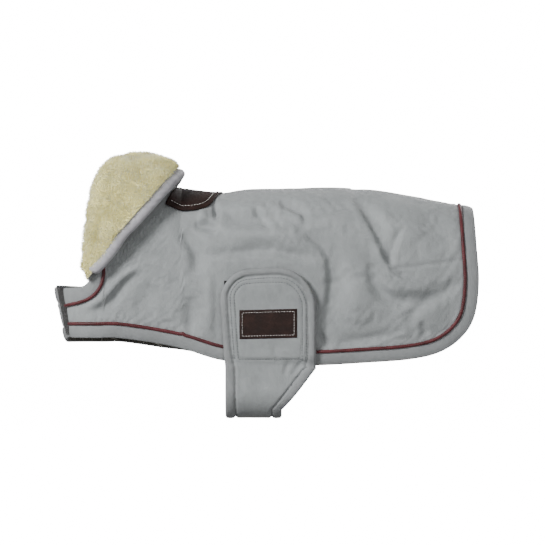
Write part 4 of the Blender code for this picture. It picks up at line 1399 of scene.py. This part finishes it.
def make_neck_casing():
    """Gathered casing round the neck, inside, with the elastic in it."""
    count, rows = 400, 16
    across = np.linspace(0, 1, rows)[:, None]
    t = np.linspace(-0.985, 0.985, count)[None, :]
    length = np.linspace(0, 1, CURVE_SAMPLES)
    seam_u, seam_g = (np.interp(np.abs(t), length, NECK_SEAM[:, k]) for k in (0, 1))
    u = seam_u + 0.001 + 0.012 * across
    g = np.broadcast_to(seam_g, u.shape)
    side = np.broadcast_to(np.where(t < 0, -1, 1), u.shape)
    gather = np.sin(t * count / 9 + 3 * noise_field(place(u, g, side), 50, 97))
    bulge = np.sin(math.pi * across) ** 0.7
    inside = LINING_OUT + LINING + 0.0003
    outer = place(u, g, side, -inside)
    inner = place(u, g, side, -inside - 0.0006 - (0.0016 + 0.0007 * gather) * bulge)
    quads = grid_quads(rows, count)
    piece = slab("neck_casing", outer.reshape(-1, 3), inner.reshape(-1, 3), quads[:, ::-1], lining_cloth(),
                 texture_places(u, g, side), normals_in=vertex_normals(inner.reshape(-1, 3), quads))
    stand_in(piece, ["neck_elastic"], "coat")


# ---------------------------------------------------------------- materials

def linear(red, green, blue, gain=1.0):
    """Scene colour for an 8-bit sRGB one."""
    parts = [c / 255 for c in (red, green, blue)]
    return (*(gain * (c / 12.92 if c <= 0.04045 else ((c + 0.055) / 1.055) ** 2.4) for c in parts), 1.0)


WAVES_IN_METRE = 3.183  # of a wave texture whose scale is 1


class Finish:
    """A material under construction: short ways to add its nodes."""

    def __init__(self, name, roughness, sheen=0.0, specular=0.5):
        self.material = bpy.data.materials.new(name)
        self.material.use_nodes = True
        self.tree = self.material.node_tree
        self.shader = self.tree.nodes["Principled BSDF"]
        self.shader.inputs["Roughness"].default_value = roughness
        self.shader.inputs["Sheen Weight"].default_value = sheen
        self.shader.inputs["Sheen Roughness"].default_value = 0.4
        self.shader.inputs["Specular IOR Level"].default_value = specular
        self.place = self.node("ShaderNodeTexCoord").outputs["Object"]
        self.uv = self.node("ShaderNodeUVMap").outputs["UV"]
        self.bump = None

    def node(self, kind, **settings):
        made = self.tree.nodes.new(kind)
        for key, value in settings.items():
            setattr(made, key, value)
        return made

    def link(self, source, target):
        if isinstance(source, (int, float)):
            target.default_value = source
        else:
            self.tree.links.new(source, target)

    def noise(self, scale, detail=2.0, roughness=0.5, stretch=(1, 1, 1), distortion=0.0):
        made = self.node("ShaderNodeTexNoise")
        made.inputs["Scale"].default_value = scale
        made.inputs["Detail"].default_value = detail
        made.inputs["Roughness"].default_value = roughness
        made.inputs["Distortion"].default_value = distortion
        self.link(self.scaled(self.place, stretch), made.inputs["Vector"])
        return made.outputs["Fac"]

    def cells(self, scale):
        made = self.node("ShaderNodeTexVoronoi", feature="F1")
        made.inputs["Scale"].default_value = scale
        self.link(self.place, made.inputs["Vector"])
        return made.outputs["Distance"]

    def scaled(self, vector, scale, turn=0.0):
        if scale == (1, 1, 1) and not turn:
            return vector
        made = self.node("ShaderNodeMapping")
        made.inputs["Scale"].default_value = scale
        made.inputs["Rotation"].default_value = (0, 0, turn)
        self.link(vector, made.inputs["Vector"])
        return made.outputs["Vector"]

    def ribs(self, pitch, turn=0.0, wobble=0.0):
        """Waves of this pitch across the texture's first axis."""
        made = self.node("ShaderNodeTexWave", wave_profile="SIN")
        made.inputs["Scale"].default_value = 1 / pitch / WAVES_IN_METRE
        made.inputs["Distortion"].default_value = wobble
        made.inputs["Detail Scale"].default_value = 0.2 / pitch
        self.link(self.scaled(self.uv, (1, 1, 1), turn), made.inputs["Vector"])
        return made.outputs["Fac"]

    def math(self, kind, a, b):
        made = self.node("ShaderNodeMath", operation=kind)
        self.link(a, made.inputs[0])
        self.link(b, made.inputs[1])
        return made.outputs[0]

    def ramp(self, value, *stops):
        """Colours at positions along a value."""
        made = self.node("ShaderNodeValToRGB")
        elements = made.color_ramp.elements
        while len(elements) < len(stops):
            elements.new(0.5)
        for element, (position, colour) in zip(elements, stops):
            element.position = position
            element.color = colour
        self.link(value, made.inputs["Fac"])
        return made.outputs["Color"]

    def blend(self, part, a, b):
        made = self.node("ShaderNodeMix", data_type="RGBA", blend_type="MIX")
        self.link(part, made.inputs["Factor"])
        for source, target in ((a, made.inputs["A"]), (b, made.inputs["B"])):
            if isinstance(source, tuple):
                target.default_value = source
            else:
                self.link(source, target)
        return made.outputs["Result"]

    def spread(self, value, low, high):
        made = self.node("ShaderNodeMapRange")
        self.link(value, made.inputs["Value"])
        made.inputs["To Min"].default_value = low
        made.inputs["To Max"].default_value = high
        return made.outputs["Result"]

    def raise_by(self, value, depth):
        """Adds bump of this depth in metres."""
        made = self.node("ShaderNodeBump")
        made.inputs["Distance"].default_value = depth
        made.inputs["Strength"].default_value = 1.0
        self.link(value, made.inputs["Height"])
        if self.bump:
            self.link(self.bump, made.inputs["Normal"])
        self.bump = made.outputs["Normal"]

    def done(self, colour, roughness=None):
        self.link(colour, self.shader.inputs["Base Color"])
        if roughness is not None:
            self.link(roughness, self.shader.inputs["Roughness"])
        if self.bump:
            self.link(self.bump, self.shader.inputs["Normal"])
        MATERIALS[self.material.name] = self.material
        return self.material


MATERIALS = {}


def once(make):
    """Makes a material the first time it is asked for."""
    def get():
        if make.__name__ not in MATERIALS:
            MATERIALS[make.__name__] = make()
        return MATERIALS[make.__name__]
    return get


def woven(name, colour, dark, light, thread, roughness, sheen):
    """Plain weave of two crossing sets of threads, with faint wear and creases."""
    cloth = Finish(name, roughness, sheen, 0.35)
    warp = cloth.ribs(thread, 0.0, wobble=0.25)
    weft = cloth.ribs(thread * 1.15, math.pi / 2, wobble=0.25)
    checker = cloth.math("MULTIPLY", warp, weft)
    raised = cloth.math("MAXIMUM", warp, weft)
    weave = cloth.math("ADD", cloth.math("MULTIPLY", raised, 0.7), cloth.math("MULTIPLY", checker, 0.3))
    broad = cloth.noise(9, 3, 0.55)
    crease = cloth.noise(150, 5, 0.62, stretch=(1.0, 1.0, 0.55), distortion=0.6)
    slub = cloth.noise(900, 2, 0.5, stretch=(1, 1, 12))
    shade = cloth.math("ADD", cloth.math("MULTIPLY", broad, 0.45), cloth.math("MULTIPLY", crease, 0.35))
    shade = cloth.math("ADD", shade, cloth.math("MULTIPLY", slub, 0.20))
    base = cloth.ramp(shade, (0.30, dark), (0.50, colour), (0.68, light))
    base = cloth.blend(cloth.spread(weave, 0.20, 0.0), base, dark)
    cloth.raise_by(weave, 0.00009)
    cloth.raise_by(crease, 0.00045)
    return cloth.done(base, cloth.spread(broad, roughness - 0.08, roughness + 0.08))


@once
def shell_cloth():
    return woven("grey_shell_cloth", linear(158, 162, 163, GREY_GAIN), linear(138, 142, 143, GREY_GAIN),
                 linear(172, 177, 177, GREY_GAIN), 0.00055, 0.62, 0.25)


@once
def band_cloth():
    return woven("grey_band_cloth", linear(147, 150, 151, GREY_GAIN), linear(128, 131, 132, GREY_GAIN),
                 linear(160, 163, 164, GREY_GAIN), 0.00075, 0.66, 0.2)


@once
def collar_cloth():
    return woven("collar_band_cloth", linear(168, 167, 172), linear(146, 145, 150),
                 linear(186, 185, 189), 0.00060, 0.55, 0.3)


@once
def wadding_cloth():
    fluff = Finish("wadding_fluff", 0.95, 0.4)
    clump = fluff.noise(260, 6, 0.65)
    fluff.raise_by(clump, 0.0008)
    return fluff.done(fluff.ramp(clump, (0.3, linear(200, 200, 196)), (0.7, linear(228, 228, 225))))


@once
def lining_cloth():
    """Dark brushed lining with a fine light check."""
    cloth = Finish("check_lining_cloth", 0.8, 0.3, 0.25)
    fine = cloth.math("MULTIPLY", cloth.ribs(0.0006), cloth.ribs(0.0006, math.pi / 2))
    lines = [cloth.math("GREATER_THAN", cloth.ribs(pitch, turn), cut)
             for pitch, turn, cut in ((0.017, 0, 0.975), (0.017, math.pi / 2, 0.975), (0.0085, 0, 0.985),
                                      (0.0085, math.pi / 2, 0.985))]
    wide = [cloth.math("GREATER_THAN", cloth.ribs(0.034, turn), 0.72) for turn in (0, math.pi / 2)]
    base = cloth.ramp(cloth.noise(35, 3), (0.3, linear(52, 49, 45)), (0.7, linear(68, 63, 58)))
    for part, shade, much in ((wide[0], linear(96, 90, 85), 0.5), (wide[1], linear(96, 90, 85), 0.5),
                              (lines[0], linear(150, 147, 140), 0.8), (lines[1], linear(150, 147, 140), 0.8),
                              (lines[2], linear(122, 117, 110), 0.6), (lines[3], linear(122, 117, 110), 0.6)):
        base = cloth.blend(cloth.math("MULTIPLY", part, much), base, shade)
    base = cloth.blend(cloth.spread(fine, 0.25, 0.0), base, linear(38, 35, 33))
    cloth.raise_by(fine, 0.00012)
    cloth.raise_by(cloth.noise(420, 4, 0.6), 0.0003)
    return cloth.done(base)


@once
def piping_cord():
    """Bias binding over a cord: fine diagonal twill ribs."""
    cord = Finish("burgundy_piping_cord", 0.55, 0.35, 0.4)
    turned = cord.scaled(cord.uv, (1 / 0.0011, 1.0, 1.0))
    twill = cord.node("ShaderNodeTexWave", wave_profile="SIN", bands_direction="DIAGONAL")
    twill.inputs["Scale"].default_value = 0.31
    cord.link(turned, twill.inputs["Vector"])
    ribs = twill.outputs["Fac"]
    patch = cord.noise(60, 4, 0.6)
    base = cord.ramp(patch, (0.32, linear(66, 11, 17)), (0.5, linear(80, 17, 24)), (0.7, linear(95, 30, 37)))
    base = cord.blend(cord.spread(ribs, 0.45, 0.0), base, linear(42, 10, 12))
    cord.raise_by(ribs, 0.00016)
    return cord.done(base)


@once
def leather():
    hide = Finish("brown_leather_hide", 0.5, 0.0, 0.25)
    grain = hide.cells(1500)
    pores = hide.noise(2600, 3, 0.6)
    crease = hide.noise(240, 5, 0.6, distortion=1.2)
    tone = hide.noise(70, 4, 0.6)
    base = hide.ramp(tone, (0.30, linear(29, 15, 11)), (0.52, linear(37, 20, 15)), (0.72, linear(50, 31, 25)))
    base = hide.blend(hide.spread(crease, 0.0, 0.35), base, linear(22, 16, 14))
    hide.raise_by(grain, 0.00018)
    hide.raise_by(pores, 0.00008)
    hide.raise_by(crease, 0.00030)
    return hide.done(base, hide.spread(tone, 0.55, 0.75))


@once
def tape():
    loops = Finish("black_fastener_tape", 0.85, 0.4, 0.3)
    fuzz = loops.noise(2200, 4, 0.7)
    rows = loops.cells(700)
    loops.raise_by(rows, 0.0005)
    loops.raise_by(fuzz, 0.0003)
    return loops.done(loops.ramp(fuzz, (0.35, linear(9, 9, 9)), (0.65, linear(27, 26, 26))))


def thread(name, colour, dark):
    strand = Finish(name, 0.6, 0.3, 0.4)
    twist = strand.noise(1600, 2, 0.5, stretch=(1, 1, 0.3))
    strand.raise_by(twist, 0.00010)
    return strand.done(strand.ramp(twist, (0.35, dark), (0.6, colour)))


@once
def white_thread():
    return thread("white_thread_strand", linear(226, 224, 220), linear(170, 168, 164))


@once
def grey_thread():
    return thread("grey_thread_strand", linear(88, 91, 92), linear(56, 59, 60))


@once
def fleece_cloth():
    wool = Finish("cream_fleece_ground", 0.95, 0.9, 0.1)
    clump = wool.noise(120, 6, 0.65)
    fine = wool.noise(1400, 4, 0.7)
    wool.raise_by(clump, 0.0020)
    wool.raise_by(fine, 0.0007)
    tone = wool.math("ADD", wool.math("MULTIPLY", clump, 0.6), wool.math("MULTIPLY", fine, 0.4))
    return wool.done(wool.ramp(tone, (0.30, linear(226, 212, 138)), (0.5, linear(248, 240, 168)),
                               (0.70, linear(254, 250, 190))))


@once
def pile_fibre():
    wool = Finish("cream_fleece_fibre", 0.9, 1.0, 0.1)
    clump = wool.noise(95, 4, 0.6)
    strand = wool.noise(1100, 2, 0.6)
    tone = wool.math("ADD", wool.math("MULTIPLY", clump, 0.6), wool.math("MULTIPLY", strand, 0.4))
    return wool.done(wool.ramp(tone, (0.28, linear(238, 226, 152)), (0.5, linear(252, 246, 178)),
                               (0.72, linear(255, 253, 204))))


GREY_GAIN = 0.77


# ---------------------------------------------------------------- simulated slackness

SIM_ROWS = 40
SIM_COLUMNS = 96
SIM_FRAMES = 14
SIM_SLACK = 0.035
SIM_LIMIT = 0.0016
SIM_SHARE = 0.6


def settled(points, quads, pinned):
    """The points after a slack cloth, pinned along its borders, has buckled."""
    mesh = bpy.data.meshes.new("slack")
    mesh.from_pydata(points.reshape(-1, 3).tolist(), [], quads.tolist())
    obj = bpy.data.objects.new("slack", mesh)
    bpy.context.scene.collection.objects.link(obj)
    group = obj.vertex_groups.new(name="pinned")
    group.add(np.flatnonzero(pinned.reshape(-1)).tolist(), 1.0, "REPLACE")
    cloth = obj.modifiers.new("Cloth", "CLOTH")
    settings = cloth.settings
    settings.vertex_group_mass = "pinned"
    settings.quality = 5
    settings.mass = 0.15
    settings.tension_stiffness = 12
    settings.compression_stiffness = 12
    settings.shear_stiffness = 5
    settings.bending_stiffness = 0.02
    settings.shrink_min = -SIM_SLACK
    settings.effector_weights.gravity = 0
    cloth.collision_settings.use_collision = False
    scene = bpy.context.scene
    start = scene.frame_current
    for frame_number in range(1, SIM_FRAMES + 1):
        scene.frame_set(frame_number)
    evaluated = obj.evaluated_get(bpy.context.evaluated_depsgraph_get())
    result = np.empty(len(mesh.vertices) * 3)
    evaluated.data.vertices.foreach_get("co", result)
    bpy.data.objects.remove(obj)
    bpy.data.meshes.remove(mesh)
    scene.frame_set(start)
    return result.reshape(points.shape)


def local_mean(values, reach):
    """Mean over a square window, with the borders repeated."""
    padded = np.pad(values, reach, mode="edge")
    total = padded.cumsum(axis=0).cumsum(axis=1)
    total = np.pad(total, ((1, 0), (1, 0)))
    size = 2 * reach + 1
    window = total[size:, size:] - total[:-size, size:] - total[size:, :-size] + total[:-size, :-size]
    return window / size ** 2


def simulated_height(places, base):
    """Small wrinkles of the slack shell, from a coarse cloth simulation of each side."""
    height = np.zeros(len(places))
    for side in (-1, 1):
        index = base[side]
        rows, columns = index.shape
        row_at = np.linspace(0, rows - 1, SIM_ROWS)
        column_at = np.linspace(0, columns - 1, SIM_COLUMNS)
        coarse = places[index[np.ix_(row_at.round().astype(int), column_at.round().astype(int))]]
        u, g = coarse[..., 0], coarse[..., 1]
        points = surface(u, g, side)
        rng = np.random.default_rng(11 + side)
        normals = normals_at(u, g, side)
        start = points + normals * rng.normal(0, 0.0002, u.shape)[..., None]
        pinned = np.zeros(u.shape, bool)
        pinned[[0, -1]] = True
        pinned[:, [0, -1]] = True
        lift = ((settled(start, grid_quads(SIM_ROWS, SIM_COLUMNS), pinned) - points) * normals).sum(axis=-1)
        lift = lift - local_mean(lift, 6)
        lift = SIM_SHARE * np.clip(lift, -SIM_LIMIT, SIM_LIMIT)
        if side < 0:
            x, z = points[..., 0], points[..., 2]
            lift = lift * (1 - strap_cover_mask(x, z, -0.070, 0.062, -0.080))
        lift = lift * smooth((u - HINGE_X) / 0.02)
        wide = np.stack([np.interp(np.arange(columns), column_at, line) for line in lift])
        height[index] = np.stack([np.interp(np.arange(rows), row_at, line) for line in wide.T], axis=1)
    return height


# ---------------------------------------------------------------- stage

FLOOR_Z = -0.47
BACKDROP_REACH = 8.0
BACKDROP_TURN = 2.0
BACKDROP_TOP = 12.0
CAMERA_LENS = 250.0
SENSOR = 36.0
FRAME_WIDTH = 0.643
VIEW_CENTRE = (0.0100, -0.030, -0.0935)


def make_stage():
    """Round pale floor that turns up into a backdrop on every side."""
    curve = [(BACKDROP_REACH + BACKDROP_TURN * math.sin(t), FLOOR_Z + BACKDROP_TURN * (1 - math.cos(t)))
             for t in np.linspace(0, math.pi / 2, 16)]
    floor = [(radius, FLOOR_Z) for radius in (0.002, 1.0, 4.0)]
    profile = floor + curve + [(BACKDROP_REACH + BACKDROP_TURN, BACKDROP_TOP)]
    turns = np.linspace(0, 2 * math.pi, 64, endpoint=False)
    points = [(r * math.cos(turn), r * math.sin(turn), z) for turn in turns for r, z in profile]
    count, whole = len(profile), len(profile) * len(turns)
    starts = [(k * count, (k + 1) * count % whole) for k in range(len(turns))]
    faces = [(here + i, beside + i, beside + i + 1, here + i + 1)
             for here, beside in starts for i in range(count - 1)]
    paper = Finish("backdrop_paper", 0.9)
    paper.raise_by(paper.noise(40, 3), 0.0002)
    paper.shader.inputs["Emission Color"].default_value = (1, 1, 1, 1)
    paper.shader.inputs["Emission Strength"].default_value = BACKDROP_GLOW
    tone = paper.ramp(paper.noise(3), (0.3, (0.86, 0.86, 0.86, 1)), (0.7, (0.9, 0.9, 0.9, 1)))
    made = paper.done(tone)
    backdrop = new_mesh_object("backdrop", points, faces, [made])
    backdrop.visible_diffuse = False  # its glow doesn't flatten the folds
    backdrop.visible_glossy = False
    backdrop.visible_shadow = False


def make_light(name, place_at, target, size, power):
    data = bpy.data.lights.new(name, "AREA")
    data.shape = "DISK"
    data.size = size
    data.energy = power
    light = bpy.data.objects.new(name, data)
    light.location = place_at
    light.rotation_euler = (Vector(target) - Vector(place_at)).to_track_quat("-Z", "Y").to_euler()
    bpy.context.scene.collection.objects.link(light)


def make_camera():
    data = bpy.data.cameras.new("camera")
    data.lens = CAMERA_LENS
    data.sensor_width = SENSOR
    data.clip_end = 50
    camera = bpy.data.objects.new("camera", data)
    x, y, z = VIEW_CENTRE
    camera.location = (x, y - FRAME_WIDTH * CAMERA_LENS / SENSOR, z)
    camera.rotation_euler = (math.pi / 2, 0, 0)
    bpy.context.scene.collection.objects.link(camera)
    bpy.context.scene.camera = camera


BACKDROP_GLOW = 16.0
WORLD_LIGHT = 0.25


def make_light_and_view():
    world = bpy.data.worlds.new("studio")
    world.use_nodes = True
    world.node_tree.nodes["Background"].inputs["Color"].default_value = (1, 1, 1, 1)
    world.node_tree.nodes["Background"].inputs["Strength"].default_value = WORLD_LIGHT
    bpy.context.scene.world = world
    target = (0, 0, -0.08)
    make_light("key", (-2.9, -2.8, 1.7), target, 1.3, 280)
    make_light("fill", (1.6, -3.6, 0.2), target, 2.4, 52)
    make_light("back", (1.5, 3.0, 2.0), target, 2.0, 70)
    make_camera()
    make_stage()


make_light_and_view()
make_panels()
make_lining()
make_hem_band()
make_chest_bands()
make_piping()
make_tapes()
make_strap()
make_label()
make_neck_patch()
make_collar()
make_neck_casing()
